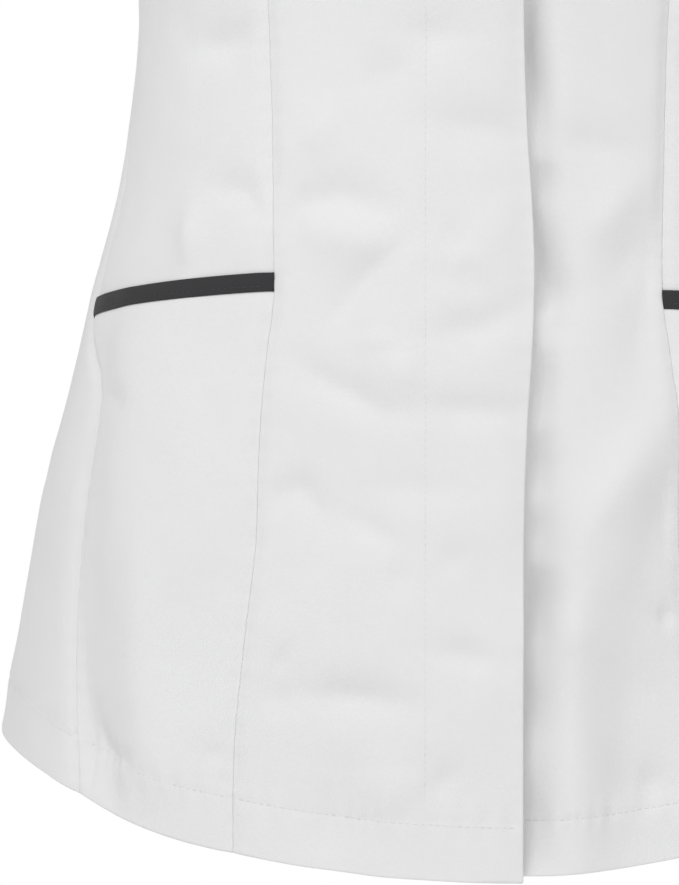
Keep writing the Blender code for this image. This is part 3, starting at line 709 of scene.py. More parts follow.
# The first ten lie at the overlap's edge, where the lower front sinks away from it
UNDER_CREASES = (
    (-0.0044, 0.0062, (0.026, -0.385), (0.025, -0.412), (0.029, -0.452)),
    (-0.0030, 0.0064, (0.029, -0.456), (0.029, -0.474)),
    (-0.0040, 0.0066, (0.028, -0.479), (0.030, -0.500), (0.034, -0.521)),
    (-0.0012, 0.0080, (0.035, -0.500), (0.036, -0.520)),
    (-0.0027, 0.0058, (0.030, -0.530), (0.028, -0.562)),
    (-0.0032, 0.0060, (0.027, -0.564), (0.027, -0.590)),
    (-0.0024, 0.0060, (0.026, -0.594), (0.026, -0.612)),
    (-0.0049, 0.0066, (0.026, -0.617), (0.026, -0.652)),
    (-0.0031, 0.0058, (0.024, -0.655), (0.024, -0.692)),
    (-0.0031, 0.0056, (0.024, -0.696), (0.024, -0.742)),
    (-0.0012, 0.0060, (0.037, -0.449), (0.069, -0.455)),
    (0.0014, 0.0070, (0.069, -0.467), (0.047, -0.487)),
    (-0.0012, 0.0080, (0.069, -0.489), (0.058, -0.507)),
    (0.0022, 0.0080, (0.072, -0.566), (0.059, -0.585), (0.049, -0.601), (0.039, -0.617)),
    (-0.0016, 0.0110, (0.083, -0.575), (0.078, -0.600), (0.068, -0.630)),
    (0.0013, 0.0080, (0.043, -0.655), (0.043, -0.745)),
    (-0.0015, 0.0100, (0.061, -0.655), (0.061, -0.745)),
    (-0.0012, 0.0035, (0.077, -0.640), (0.085, -0.641)),
    (-0.0014, 0.0060, (0.069, -0.706), (0.084, -0.708)),
    (-0.0014, 0.0080, (0.078, -0.487), (0.069, -0.529), (0.073, -0.565)),
    (-0.0014, 0.0090, (0.075, -0.300), (0.050, -0.315)),
    (0.0014, 0.0110, (0.080, -0.175), (0.055, -0.240)),
)
SIDE_RIGHT_CREASES = (
    (-0.0017, 0.0060, (-0.111, -0.413), (-0.098, -0.411), (-0.087, -0.405)),
    (-0.0014, 0.0050, (-0.105, -0.469), (-0.091, -0.470), (-0.083, -0.480)),
    (0.0015, 0.0060, (-0.113, -0.475), (-0.113, -0.501)),
    (-0.0009, 0.0050, (-0.148, -0.553), (-0.138, -0.559)),
    (0.0016, 0.0120, (-0.117, -0.545), (-0.115, -0.600), (-0.117, -0.660)),
    (0.0016, 0.0080, (-0.129, -0.600), (-0.129, -0.650), (-0.128, -0.705)),
    (-0.0022, 0.0095, (-0.167, -0.610), (-0.166, -0.670), (-0.165, -0.712)),
    (-0.0014, 0.0090, (-0.161, -0.690), (-0.158, -0.716)),
    (-0.0015, 0.0060, (-0.151, -0.702), (-0.140, -0.721)),
    (-0.0012, 0.0060, (-0.158, -0.672), (-0.152, -0.694), (-0.146, -0.706)),
    (-0.0010, 0.0035, (-0.186, -0.659), (-0.173, -0.673), (-0.174, -0.680), (-0.160, -0.690)),
    (-0.0010, 0.0035, (-0.156, -0.687), (-0.150, -0.696), (-0.144, -0.700), (-0.132, -0.701)),
    (-0.0009, 0.0035, (-0.131, -0.701), (-0.132, -0.719)),
    (-0.0008, 0.0035, (-0.106, -0.696), (-0.096, -0.696)),
    (-0.0008, 0.0035, (-0.100, -0.706), (-0.094, -0.706)),
    (-0.0014, 0.0090, (-0.115, -0.350), (-0.135, -0.372)),
    (0.0015, 0.0110, (-0.120, -0.215), (-0.112, -0.275)),
    (-0.0014, 0.0090, (-0.138, -0.225), (-0.132, -0.290)),
    (-0.0014, 0.0090, (-0.140, -0.120), (-0.130, -0.165)),
)
SIDE_LEFT_CREASES = (
    (-0.0016, 0.0070, (0.110, -0.415), (0.090, -0.420)),
    (0.0015, 0.0080, (0.115, -0.462), (0.118, -0.498)),
    (-0.0013, 0.0060, (0.104, -0.476), (0.090, -0.484)),
    (-0.0015, 0.0080, (0.105, -0.585), (0.128, -0.570)),
    (0.0014, 0.0110, (0.118, -0.610), (0.116, -0.665)),
    (-0.0024, 0.0100, (0.154, -0.655), (0.150, -0.695)),
    (-0.0009, 0.0040, (0.108, -0.699), (0.128, -0.703), (0.139, -0.700)),
    (-0.0015, 0.0090, (0.112, -0.345), (0.138, -0.362)),
    (0.0014, 0.0110, (0.122, -0.210), (0.113, -0.268)),
    (-0.0014, 0.0090, (0.140, -0.230), (0.131, -0.296)),
    (-0.0013, 0.0090, (0.138, -0.125), (0.129, -0.172)),
)

print("creases on the fronts:", sum(map(len, (
    LAPPING_CREASES, UNDER_CREASES, SIDE_RIGHT_CREASES, SIDE_LEFT_CREASES))))

# %% Creases of the back
# Here a crease's places are given by around instead of x
BACK_CREASES = (
    (-0.0020, 0.0085, (1.42, -0.372), (1.62, -0.386), (1.78, -0.381)),
    (-0.0018, 0.0075, (2.20, -0.384), (2.38, -0.392), (2.55, -0.376)),
    (0.0016, 0.0090, (1.30, -0.402), (1.50, -0.412)),
    (0.0014, 0.0090, (2.52, -0.405), (2.70, -0.398)),
    (-0.0015, 0.0090, (1.85, -0.352), (2.12, -0.348)),
    (0.0017, 0.0120, (1.38, -0.175), (1.52, -0.245)),
    (-0.0015, 0.0100, (1.50, -0.160), (1.63, -0.222)),
    (0.0016, 0.0120, (2.63, -0.180), (2.49, -0.252)),
    (-0.0014, 0.0100, (2.50, -0.165), (2.36, -0.230)),
    (-0.0016, 0.0070, (1.70, -0.470), (1.82, -0.482)),
    (0.0013, 0.0090, (2.15, -0.500), (2.30, -0.492)),
    (-0.0016, 0.0070, (1.95, -0.560), (2.03, -0.570), (2.10, -0.563)),
    (-0.0014, 0.0070, (1.35, -0.585), (1.50, -0.575)),
    (-0.0014, 0.0070, (2.55, -0.600), (2.70, -0.590)),
    (0.0012, 0.0090, (1.75, -0.640), (1.90, -0.632)),
    (-0.0012, 0.0100, (1.90, -0.090), (2.08, -0.096)),
)

print("creases on the back:", len(BACK_CREASES))

# %% Rise of creases and folds
CREASE_STRENGTH = 2.0
CREASE_SPREAD = 1.5
CREASE_ENDS = 0.35
CREASE_CORE = 0.2


def on_front(creases):
    """The same creases with around in place of x."""
    turned = []
    for rise, half_width, *line in creases:
        turned.append((rise, half_width, *[(float(around_at(x, z).item()), z) for x, z in line]))
    return turned


def off_line(across, up, run_across, run_up):
    """Share along a straight line from 0, 0 that is nearest to each place, and the distance to it."""
    share = np.clip((across * run_across + up * run_up) / (run_across**2 + run_up**2), 0, 1)
    return share, np.hypot(across - share * run_across, up - share * run_up)


def crease_rise(creases, around, height):
    """How far hand-placed creases push the cloth out, or in where it is negative."""
    total = np.zeros(np.shape(around))
    for rise, half_width, *line in creases:
        start_turn, start_z = line[0]
        off_x = short_way(around - start_turn) * QUARTER_LENGTH
        off_z = height - start_z
        corners = [((turn - start_turn) * QUARTER_LENGTH, z - start_z) for turn, z in line]
        lengths = [math.dist(a, b) for a, b in zip(corners, corners[1:])]
        nearest = np.full(total.shape, np.inf)
        along = np.zeros(total.shape)
        done = 0.0
        for (x0, z0), (x1, z1), length in zip(corners, corners[1:], lengths):
            share, distance = off_line(off_x - x0, off_z - z0, x1 - x0, z1 - z0)
            closer = distance < nearest
            nearest = np.where(closer, distance, nearest)
            along = np.where(closer, (done + share * length) / sum(lengths), along)
            done += length
        swell = CREASE_ENDS + (1 - CREASE_ENDS) * np.sin(math.pi * along)
        off = nearest / half_width / CREASE_SPREAD
        section = (1 - CREASE_CORE) * bell(off, 1) + CREASE_CORE * bell(2 * off, 1)
        total = total + rise * swell * section
    return CREASE_STRENGTH * total


def fold_rise(around, height):
    """How far the largest folds push the cloth out, or in where it is negative."""
    total = np.zeros(np.shape(around))
    for turn_top, top, turn_low, low, half_width, rise in FOLDS:
        off_x = short_way(around - turn_top) * QUARTER_LENGTH
        _, distance = off_line(off_x, height - top, (turn_low - turn_top) * QUARTER_LENGTH, low - top)
        total = total + rise * bell(distance, half_width)
    return total


print("large folds:", len(FOLDS))

# %% Unevenness and the folded surface
UNEVENNESS = 0.00040
WAVE_COUNT = 40
WAVE_LENGTHS = (0.012, 0.095)
WAVE_LEAN = (1.0, 1.0, 0.7)


def make_waves(seed=11):
    """Wave vectors, sizes and phases of the slow unevenness."""
    draw = np.random.RandomState(seed)
    direction = draw.normal(size=(WAVE_COUNT, 3)) * WAVE_LEAN
    direction /= np.linalg.norm(direction, axis=1, keepdims=True)
    length = draw.uniform(*WAVE_LENGTHS, WAVE_COUNT)
    phase = draw.uniform(0, 7, WAVE_COUNT)
    return direction * (2 * math.pi / length)[:, None], length / length.mean(), phase


WAVE_VECTORS, WAVE_SIZES, WAVE_PHASES = make_waves()


def unevenness(points):
    """A slow wavering of the cloth that carries on across seams."""
    total = np.zeros(points.shape[:-1])
    for vector, size, phase in zip(WAVE_VECTORS, WAVE_SIZES, WAVE_PHASES):
        total += size * np.sin(points @ vector + phase)
    return UNEVENNESS * total / math.sqrt(len(WAVE_SIZES) / 2)


def surface(around, height, out):
    """Points of the folded cloth moved out by `out`, and the outward normals there."""
    bare = torso_points(around, height)
    normals = torso_normals(around, height)
    rise = out + fold_rise(around, height) + unevenness(bare)
    return bare + normals * rise[..., None], normals


print("slow waves:", len(WAVE_SIZES))

# %% [markdown]
# ## Laying out a panel
# A sewn panel never ends in a raw cut. At a seam its edge is folded under and pressed, at the front it
# is folded back as a facing, and the hem is turned up inside. So a panel is one grid that starts at the
# free edge of what is turned under, goes round the fold and runs over the face to the other side. The
# grid itself comes from bmesh.ops.create_grid, and its points then take their places on the torso.

# %% Edges of a panel
Finish = namedtuple("Finish", "radius width free")
SEAM = Finish(radius=0.00042, width=0.009, free=False)
FRONT_FOLD = Finish(radius=0.00060, width=0.014, free=True)
NARROW = Finish(radius=0.00042, width=0.0012, free=False)
FOLD_TURNS = math.pi * np.array([1.0, 0.75, 0.5, 0.25, 0.0])
FACE_STEPS = np.array([0.0007, 0.0015, 0.0026, 0.0042])
UNDER_SHARES = np.array([1.0, 0.6, 0.25])

Panel = namedtuple("Panel", "around height depth from_left from_right width rows")


def edge_columns(finish):
    """Distance in from an edge and depth of its columns, from the free edge turned under it."""
    under = finish.radius + finish.width * UNDER_SHARES
    fold = finish.radius * (1 - np.sin(FOLD_TURNS))
    distance = np.concatenate([under, fold, finish.radius + FACE_STEPS])
    behind = np.full(len(under), 2 * finish.radius)
    round_fold = finish.radius * (1 - np.cos(FOLD_TURNS))
    return distance, np.concatenate([behind, round_fold, np.zeros(len(FACE_STEPS))])


def row_widths(left, right, samples=13):
    """Width of each row of a panel, measured over the torso."""
    share = np.linspace(0, 1, samples)[None, :, None]
    line = left[:, None] * (1 - share) + right[:, None] * share
    points = torso_points(line[..., 0], line[..., 1])
    return np.linalg.norm(np.diff(points, axis=1), axis=2).sum(axis=1)


def lay_out(left, right, left_finish, right_finish, middle, rows, top_at=None):
    """Places of a panel's grid between two long edges, with the hem's curve below."""
    width = row_widths(left, right)
    near_distance, near_depth = edge_columns(left_finish)
    far_distance, far_depth = edge_columns(right_finish)
    near = near_distance / width[:, None]
    far = 1 - far_distance[::-1] / width[:, None]
    step = np.linspace(0, 1, middle + 2)[1:-1]
    share = np.hstack([near, near[:, -1:] + (far[:, :1] - near[:, -1:]) * step, far])
    depth = np.concatenate([near_depth, np.zeros(middle), far_depth[::-1]])
    grid = left[:, None] * (1 - share[..., None]) + right[:, None] * share[..., None]
    index = np.arange(len(left))
    if top_at is not None:
        weight = ease((index - underarm_row(rows)) / (len(left) - 1 - underarm_row(rows)))
        grid = grid + weight[:, None, None] * (top_at(share[-1]) - grid[-1])[None]
    follow = 1 - ease((index - ABOVE_HEM_ROW) / (mouth_row(rows) - ABOVE_HEM_ROW))
    lift = hem_height(grid[HEM_ROW, :, 0]) - grid[HEM_ROW, :, 1]
    height = grid[..., 1] + follow[:, None] * lift
    from_left = share * width[:, None]
    return Panel(grid[..., 0], height, depth, from_left, width[:, None] - from_left, width, rows)


print("columns at a seam:", len(edge_columns(SEAM)[0]))

# %% Hem, seams and puckers of a panel
HEM_LOOP = 0.0011
LAYER_SLACK = 0.0001
BULK_FADE = 0.004
CREASE_FADE = 0.007
PUCKER = 0.00018
HEM_PUCKER = 2.4
PUCKER_REACH = 0.006
PUCKER_PITCH = 0.0095
# Size, wave number and start of the slow waves that make the puckers wander from their pitch
SEAM_WANDER = ((1.4, 88.0, 0.0), (0.9, 141.0, 1.0))
HEM_WANDER = ((2.4, 97.0, 0.0), (1.4, 160.0, 2.0))
SEAM_DIP = 0.0019
SEAM_DIP_REACH = 0.0038
STITCH_DIP = 0.00020
STITCH_DIP_REACH = 0.0013


def hem_folded(panel, left_finish, right_finish, loop=HEM_LOOP):
    """Heights and depths of a panel whose hem is turned up round a fold that is `loop` thick."""
    bulk = np.full(panel.height.shape, loop)
    for finish, distance in ((left_finish, panel.from_left), (right_finish, panel.from_right)):
        layers = 4 * finish.radius + LAYER_SLACK
        near = 1 - ease((distance - finish.radius - finish.width) / BULK_FADE)
        bulk = np.maximum(bulk, loop + (layers - loop) * near)
    turn = np.zeros((len(panel.height), 1))
    turn[: len(TURNED_UP), 0] = [math.pi * share for _, share in TURNED_UP]
    radius = bulk / 2 - panel.depth
    rise = bulk / 2 - radius * np.sin(turn)
    rise[len(TURNED_UP) :] = 0
    return panel.height + rise, bulk / 2 - radius * np.cos(turn)


def edge_fade(panel, left_finish, right_finish):
    """0 at a sewn edge, where the seam holds the cloth flat, and 1 away from it."""
    left = 1.0 if left_finish.free else ease(panel.from_left / CREASE_FADE)
    right = 1.0 if right_finish.free else ease(panel.from_right / CREASE_FADE)
    return left * right


def ripples(along, wander):
    """Waves of nearly even pitch along a line."""
    phase = sum(size * np.sin(along * number + start) for size, number, start in wander)
    return np.sin(2 * math.pi * along / PUCKER_PITCH + phase)


def pucker(panel, height):
    """Small waves that the thread pulls into the cloth beside a seam and above the hem."""
    from_seam = np.minimum(panel.from_left, panel.from_right)
    from_stitch = height - hem_height(panel.around) - HEM_STITCH
    seam = ripples(height, SEAM_WANDER) * bell(from_seam, PUCKER_REACH)
    hem = ripples(panel.from_left, HEM_WANDER) * bell(from_stitch, PUCKER_REACH)
    return PUCKER * (seam + HEM_PUCKER * hem)


def seam_dip(panel, left_finish, right_finish):
    """The soft hollow on both sides of a seam."""
    left = 0.0 if left_finish.free else bell(panel.from_left, SEAM_DIP_REACH)
    right = 0.0 if right_finish.free else bell(panel.from_right, SEAM_DIP_REACH)
    return -SEAM_DIP * (left + right)


def stitch_dip(distance):
    """The shallow groove that a line of stitches pulls into the cloth."""
    return -STITCH_DIP * bell(distance, STITCH_DIP_REACH)


print("puckers are", PUCKER_PITCH * 1000, "mm apart")

# %% From a grid to a piece
CLOTH_THICKNESS = 0.0004
SIDES = {-1: "right", 1: "left"}


def grid_mesh(name, points, uv):
    """A mesh from a bmesh grid whose points take the given places, with its flat cut as UV."""
    rows, columns = points.shape[:2]
    bm = bmesh.new()
    bmesh.ops.create_grid(bm, x_segments=columns - 1, y_segments=rows - 1, size=0.5)
    mesh = bpy.data.meshes.new(name)
    bm.to_mesh(mesh)
    bm.free()
    flat = np.empty(3 * len(mesh.vertices), np.float32)
    mesh.vertices.foreach_get("co", flat)
    col = np.rint((flat[0::3] + 0.5) * (columns - 1)).astype(int)
    row = np.rint((flat[1::3] + 0.5) * (rows - 1)).astype(int)
    mesh.vertices.foreach_set("co", points[row, col].astype(np.float32).ravel())
    corner = np.empty(len(mesh.loops), np.int32)
    mesh.loops.foreach_get("vertex_index", corner)
    layer = mesh.uv_layers.new(name="cut")
    layer.data.foreach_set("uv", uv[row[corner], col[corner]].astype(np.float32).ravel())
    mesh.update()
    return mesh


def flat_cut(points):
    """UV in metres: across from the panel's middle and up from its lowest row."""
    across = np.linalg.norm(np.diff(points, axis=1), axis=2).cumsum(axis=1)
    across = np.hstack([np.zeros((len(points), 1)), across])
    across = across - across[:, -1:] / 2
    middle = points[:, points.shape[1] // 2]
    up = np.append(0, np.linalg.norm(np.diff(middle, axis=0), axis=1).cumsum())
    return np.stack([across, np.broadcast_to(up[:, None], across.shape)], axis=-1)


def add_piece(name, mesh, material, node, slot):
    """A finished piece that rides on the body, stands for its node and is shaded smooth."""
    mesh.materials.append(material)
    mesh.shade_smooth()
    piece = bpy.data.objects.new(name, mesh)
    bpy.context.scene.collection.objects.link(piece)
    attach(piece, "root")
    if node:
        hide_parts(node)
    return piece


def cloth_piece(name, points, material, node, area, slot="cloth_white"):
    """A panel of cloth: its face, then its thickness inwards; its area is printed against the stated flat
    size.
    """
    piece = add_piece(name, grid_mesh(name, points, flat_cut(points)), material, node, slot)
    cut_area = sum(face.area for face in piece.data.polygons)
    thicken = piece.modifiers.new("thickness", "SOLIDIFY")
    thicken.thickness = CLOTH_THICKNESS
    thicken.offset = -1
    print(f"{name}: {len(piece.data.polygons)} faces, {cut_area:.4f} m2 against {area} stated")
    return piece


def facing_out(side, *arrays):
    """Turns a right-hand panel's columns round, so that its faces point outwards too."""
    return [array if side > 0 else array[:, ::-1] for array in arrays]

# %% [markdown]
# ## Materials
# The cloth is a plain white poly-cotton: matt, slightly fuzzy and woven so fine that only a hint of the
# threads shows. Its weave is two crossed sets of ridges from the flat cut's own UV in metres, so it
# follows the grain of each panel. The binding is the same cloth dyed charcoal. The numbers that are the
# same all over sit on the shader's own sockets.

# %% Cloth materials
THREADS_PER_METRE = 2300
SHEEN_ROUGHNESS = 0.45
CLOTH_SPECULAR = 0.25
SLUB_SCALE = 900
THREAD_RELIEF = 0.00008
CLOUD_SCALE = 26
CLOUD_BAND = (0.3, 0.7)


def new_material(name, roughness):
    """A material with its node tree and its shader."""
    material = bpy.data.materials.new(name)
    material.use_nodes = True
    shader = material.node_tree.nodes["Principled BSDF"]
    shader.inputs["Roughness"].default_value = roughness
    return material, material.node_tree, shader


def add_node(tree, kind, *sources, operation=None, **values):
    """A shader node whose first inputs take the given outputs, with other inputs set by name."""
    made = tree.nodes.new(f"ShaderNode{kind}")
    if operation:
        made.operation = operation
    for place, source in enumerate(sources):
        tree.links.new(source, made.inputs[place])
    for name, value in values.items():
        made.inputs[name].default_value = value
    return made


def colour_ramp(tree, shader, factor, colours, band=(0, 1)):
    """Gives the shader a colour that goes from one to another as the factor crosses the band."""
    ramp = add_node(tree, "ValToRGB", factor)
    for element, colour, position in zip(ramp.color_ramp.elements, colours, band):
        element.position = position
        element.color = (*colour, 1)
    tree.links.new(ramp.outputs[0], shader.inputs["Base Color"])


def relief(tree, shader, height, strength, depth):
    """Gives the shader a bump from a height."""
    bump = add_node(tree, "Bump", Strength=strength, Distance=depth)
    tree.links.new(height, bump.inputs["Height"])
    tree.links.new(bump.outputs[0], shader.inputs["Normal"])


def woven(name, colour, shade, roughness, sheen, bump):
    """A woven cloth: a faint change of shade over its surface and a bump of crossed threads."""
    material, tree, shader = new_material(name, roughness)
    shader.inputs["Sheen Weight"].default_value = sheen
    shader.inputs["Sheen Roughness"].default_value = SHEEN_ROUGHNESS
    shader.inputs["Specular IOR Level"].default_value = CLOTH_SPECULAR
    place = add_node(tree, "TexCoord")
    flat = add_node(tree, "SeparateXYZ", place.outputs["UV"])
    threads = []
    for axis in ("X", "Y"):
        scaled = add_node(tree, "Math", flat.outputs[axis], operation="MULTIPLY")
        scaled.inputs[1].default_value = THREADS_PER_METRE * math.pi
        threads.append(add_node(tree, "Math", scaled.outputs[0], operation="SINE").outputs[0])
    weave = add_node(tree, "Math", *threads, operation="MULTIPLY")
    slub = add_node(tree, "TexNoise", place.outputs["Object"], Scale=SLUB_SCALE, Detail=2)
    total = add_node(tree, "Math", weave.outputs[0], slub.outputs["Fac"], operation="ADD")
    relief(tree, shader, total.outputs[0], bump, THREAD_RELIEF)
    cloud = add_node(tree, "TexNoise", place.outputs["Object"], Scale=CLOUD_SCALE, Detail=3)
    dark = [c * (1 - shade) for c in colour]
    light = [min(c * (1 + shade), 1) for c in colour]
    colour_ramp(tree, shader, cloud.outputs["Fac"], (dark, light), CLOUD_BAND)
    return material


cloth = woven("poly_cotton_white", (0.80, 0.80, 0.803), shade=0.010, roughness=0.86, sheen=0.10, bump=0.35)
trim = woven("binding_charcoal", (0.036, 0.036, 0.038), shade=0.05, roughness=0.86, sheen=0.12, bump=0.5)
print("cloth materials:", cloth.name, trim.name)

# %% Thread and stud materials
GRAIN_BUMP = 0.2
GRAIN_RELIEF = 0.00005


def plain_finish(name, colour, roughness, grain_scale, grain):
    """A thread or moulded finish: one colour with a fine grain in its shade and relief."""
    material, tree, shader = new_material(name, roughness)
    place = add_node(tree, "TexCoord")
    grains = add_node(tree, "TexNoise", place.outputs["Object"], Scale=grain_scale)
    dark = [c * (1 - grain) for c in colour]
    colour_ramp(tree, shader, grains.outputs["Fac"], (dark, colour))
    relief(tree, shader, grains.outputs["Fac"], GRAIN_BUMP, GRAIN_RELIEF)
    return material


white_thread = plain_finish("thread_white", (0.80, 0.80, 0.80), 0.6, grain_scale=1500, grain=0.08)
dark_thread = plain_finish("thread_charcoal", (0.06, 0.06, 0.063), 0.55, grain_scale=1500, grain=0.15)
stud_finish = plain_finish("stud_moulded", (0.76, 0.76, 0.75), 0.35, grain_scale=700, grain=0.04)
for name in sorted(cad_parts):
    if name.startswith("press_stud"):
        bpy.data.objects[name].material_slots[0].material = stud_finish
print("studs keep their solids and take", stud_finish.name)

# %% [markdown]
# ## Centre fronts
# The wearer's right front laps over the left one and hides the press studs. It stands off the panel
# below it, is folded back along its edge, and carries the long line of stitches that holds the facing.
# The left front is the same panel with a narrower reach. Both end at the princess seam.

# %% Centre fronts
PLACKET_STITCH = -0.0168
STUD_MARK = 0.00022
STUD_MARK_WIDTH = 0.0022
LAP_DROP_ROWS = 12
STUD_HEIGHTS = [STUD_TOP - i * STUD_PITCH for i in range(STUD_COUNT)]
CENTRE_COLUMNS = 66
TOP_DEPTH = (0.0, 0.0, 0.00003, 0.00015, 0.0010)


def stud_marks(points):
    """Faint rings where the studs press into the cloth over them."""
    total = np.zeros(points.shape[:-1])
    for stud in STUD_HEIGHTS:
        distance = np.hypot(points[..., 0], points[..., 2] - stud)
        total += STUD_MARK * bell(distance - STUD_RADIUS, STUD_MARK_WIDTH)
    return total


def lapping_base(around, height):
    """How far the lapping front's face stands out, with the marks of its stitches and studs."""
    bare = torso_points(around, height)
    return lap_lift(around, height) + stud_marks(bare) + stitch_dip(bare[..., 0] - PLACKET_STITCH)


def flush(around, height):
    """A face that lies on the torso's surface."""
    return np.zeros(np.shape(around))


def top_depths(panel):
    """Depth of the last rows, which dip into the shoulder seam."""
    depth = np.zeros((len(panel.height), 1))
    depth[-len(TOP_DEPTH) :, 0] = TOP_DEPTH
    return depth


def panel_surface(panel, side, finishes, base, creases, loop=HEM_LOOP):
    """Points and normals of a panel on the given side, its hem turned up and its edges folded."""
    height, depth = hem_folded(panel, *finishes, loop)
    around = panel.around * side
    rise = base(around, height) + crease_rise(creases, around, height) * edge_fade(panel, *finishes)
    rise = rise + pucker(panel, height) + seam_dip(panel, *finishes)
    rise = rise + stitch_dip(height - hem_height(panel.around) - HEM_STITCH)
    return surface(around, height, rise - depth - top_depths(panel))


def centre_front(side, reach, base, creases, area):
    """One centre front; near the hem the lapping one's rows drop a little towards its edge."""
    finishes = (FRONT_FOLD, SEAM)
    edges = front_edge(side, reach), princess_edge(side, -SEAM_GAP / 2)
    panel = lay_out(*edges, *finishes, CENTRE_COLUMNS, FRONT_ROWS)
    if side < 0:
        x = torso_points(panel.around * side, panel.height)[..., 0]
        drop = LAP_DROP * ease((x - LAP_RISE_START) / (LAP_EDGE - LAP_RISE_START))
        index = np.arange(len(panel.height))[:, None]
        drop = drop * (1 - ease((index - ABOVE_HEM_ROW) / LAP_DROP_ROWS))
        panel = panel._replace(height=panel.height - drop)
    points, normals = panel_surface(panel, side, finishes, base, on_front(creases))
    points, normals = facing_out(side, points, normals)
    name = SIDES[side]
    cloth_piece(f"centre_front_{name}", points, cloth, f"front_centre_{name}", area)
    return points, normals


lapping = centre_front(-1, lap_edge, lapping_base, LAPPING_CREASES, 0.106)
under = centre_front(1, underlap_edge, flush, UNDER_CREASES, 0.103)

# %% [markdown]
# ## Side fronts and pockets
# Each pocket is a second layer over the side front, from its bound mouth down to the hem, where the
# pocket layer is turned up and the side front ends inside its fold. The side front therefore sinks by
# POCKET_SINK below the mouth, and the layer lies on it. A charcoal band binds the mouth: a flattened
# loop run along its slant.

# %% Side fronts
SIDE_COLUMNS_ACROSS = 58
POCKET_SINK = 0.0007
ARCH_FADE_ROWS = 16
POCKET_LOOP = 0.0016
LAYER_TOP_SINK = (0.0003, 0.0008)


def with_arch(panel):
    """The panel with its pocket rows raised to the mouth's slight arch."""
    index = np.arange(len(panel.height))
    low, high = mouth_row(panel.rows), mouth_row(panel.rows) + panel.rows.mouth
    weight = ease(1 - (low - index) / ARCH_FADE_ROWS) * ease(1 - (index - high) / ARCH_FADE_ROWS)
    arch = MOUTH_ARCH * np.sin(math.pi * np.clip(panel.from_left / panel.width[:, None], 0, 1))
    return panel._replace(height=panel.height + weight[:, None] * arch)


def side_panel(side, finishes):
    """The grid of a side front, which its pocket layer shares."""
    edges = princess_edge(side, SEAM_GAP / 2), side_edge(side, True)
    return with_arch(lay_out(*edges, *finishes, SIDE_COLUMNS_ACROSS, FRONT_ROWS))


def side_front(side, creases, area):
    """A side front from the fold of the hem up, sunk where the pocket layer covers it."""
    finishes = (SEAM, SEAM)
    panel = side_panel(side, finishes)
    mouth_top = panel.height[mouth_row(FRONT_ROWS) + FRONT_ROWS.mouth]
    sunk = POCKET_SINK * (1 - ease((panel.height - mouth_top) / MOUTH_TUCK))
    around = panel.around * side
    rise = crease_rise(on_front(creases), around, panel.height) * edge_fade(panel, *finishes)
    rise = rise + pucker(panel, panel.height) + seam_dip(panel, *finishes)
    out = rise - sunk - panel.depth - top_depths(panel)
    points, normals = surface(around, panel.height, out)
    points, normals = facing_out(side, points[HEM_ROW + 1 :], normals[HEM_ROW + 1 :])
    name = SIDES[side]
    cloth_piece(f"side_front_{name}", points, cloth, f"front_side_{name}", area)
    return points, normals


def pocket(side, creases, area):
    """A pocket layer from the hem to just under its band, where its last rows sink."""
    finishes = (NARROW, NARROW)
    panel = side_panel(side, finishes)
    points, normals = panel_surface(panel, side, finishes, flush, on_front(creases), POCKET_LOOP)
    last = mouth_row(FRONT_ROWS) + 2
    points, normals = points[:last], normals[:last]
    points[-2:] -= normals[-2:] * np.array(LAYER_TOP_SINK)[:, None, None]
    points, normals = facing_out(side, points, normals)
    name = SIDES[side]
    cloth_piece(f"pocket_layer_{name}", points, cloth, f"pocket_{name}", area)
    return points, normals


pockets = {}
for side, creases in ((-1, SIDE_RIGHT_CREASES), (1, SIDE_LEFT_CREASES)):
    side_front(side, creases, 0.084)
    pockets[side] = pocket(side, creases, 0.023)

# %% Bound edges
BAND_STEPS = 7
BAND_ROUND = 5
BAND_CROWN = 0.00018
BAND_OVERLAP = 0.00035
BAND_BACK = -0.0006
MOUTH_PLACES = 121
MOUTH_LENGTH = 0.11
WELD_DISTANCE = 1e-6


def band_section(width, front, back):
    """A flattened loop as distance from the lower edge and how far out, all round once."""
    radius = (front - back) / 2
    middle = (front + back) / 2
    turn = np.linspace(0, math.pi, BAND_ROUND + 2)
    upper = np.stack([width - radius + radius * np.sin(turn), middle + radius * np.cos(turn)], axis=1)
    lower = np.stack([radius - radius * np.sin(turn), middle - radius * np.cos(turn)], axis=1)
    across = np.linspace(radius, width - radius, BAND_STEPS + 2)[1:-1]
    crown = BAND_CROWN * (1 - (2 * across / width - 1) ** 2)
    face = np.stack([across, front + crown], axis=1)
    behind = np.stack([across[::-1], np.full(BAND_STEPS, back)], axis=1)
    return np.vstack([face, upper, behind, lower])


def band_piece(name, points, material, node, slot):
    """A closed band: a grid of section by length, rolled up, welded and capped at both ends."""
    rolled = np.vstack([points, points[:1]])
    mesh = grid_mesh(name, rolled, flat_cut(rolled))
    bm = bmesh.new()
    bm.from_mesh(mesh)
    bmesh.ops.remove_doubles(bm, verts=bm.verts, dist=WELD_DISTANCE)
    bmesh.ops.holes_fill(bm, edges=[edge for edge in bm.edges if edge.is_boundary])
    bmesh.ops.recalc_face_normals(bm, faces=bm.faces)
    bm.to_mesh(mesh)
    bm.free()
    piece = add_piece(name, mesh, material, node, slot)
    print(f"{name}: {len(mesh.polygons)} faces")
    return piece


def mouth_places(side, row, share):
    """Places along one row of the pocket's mouth, with its slight arch."""
    ends = princess_edge(side, SEAM_GAP / 2)[row], side_edge(side, True)[row]
    line = ends[0] * (1 - share[:, None]) + ends[1] * share[:, None]
    line[:, 1] += MOUTH_ARCH * np.sin(math.pi * share)
    return line


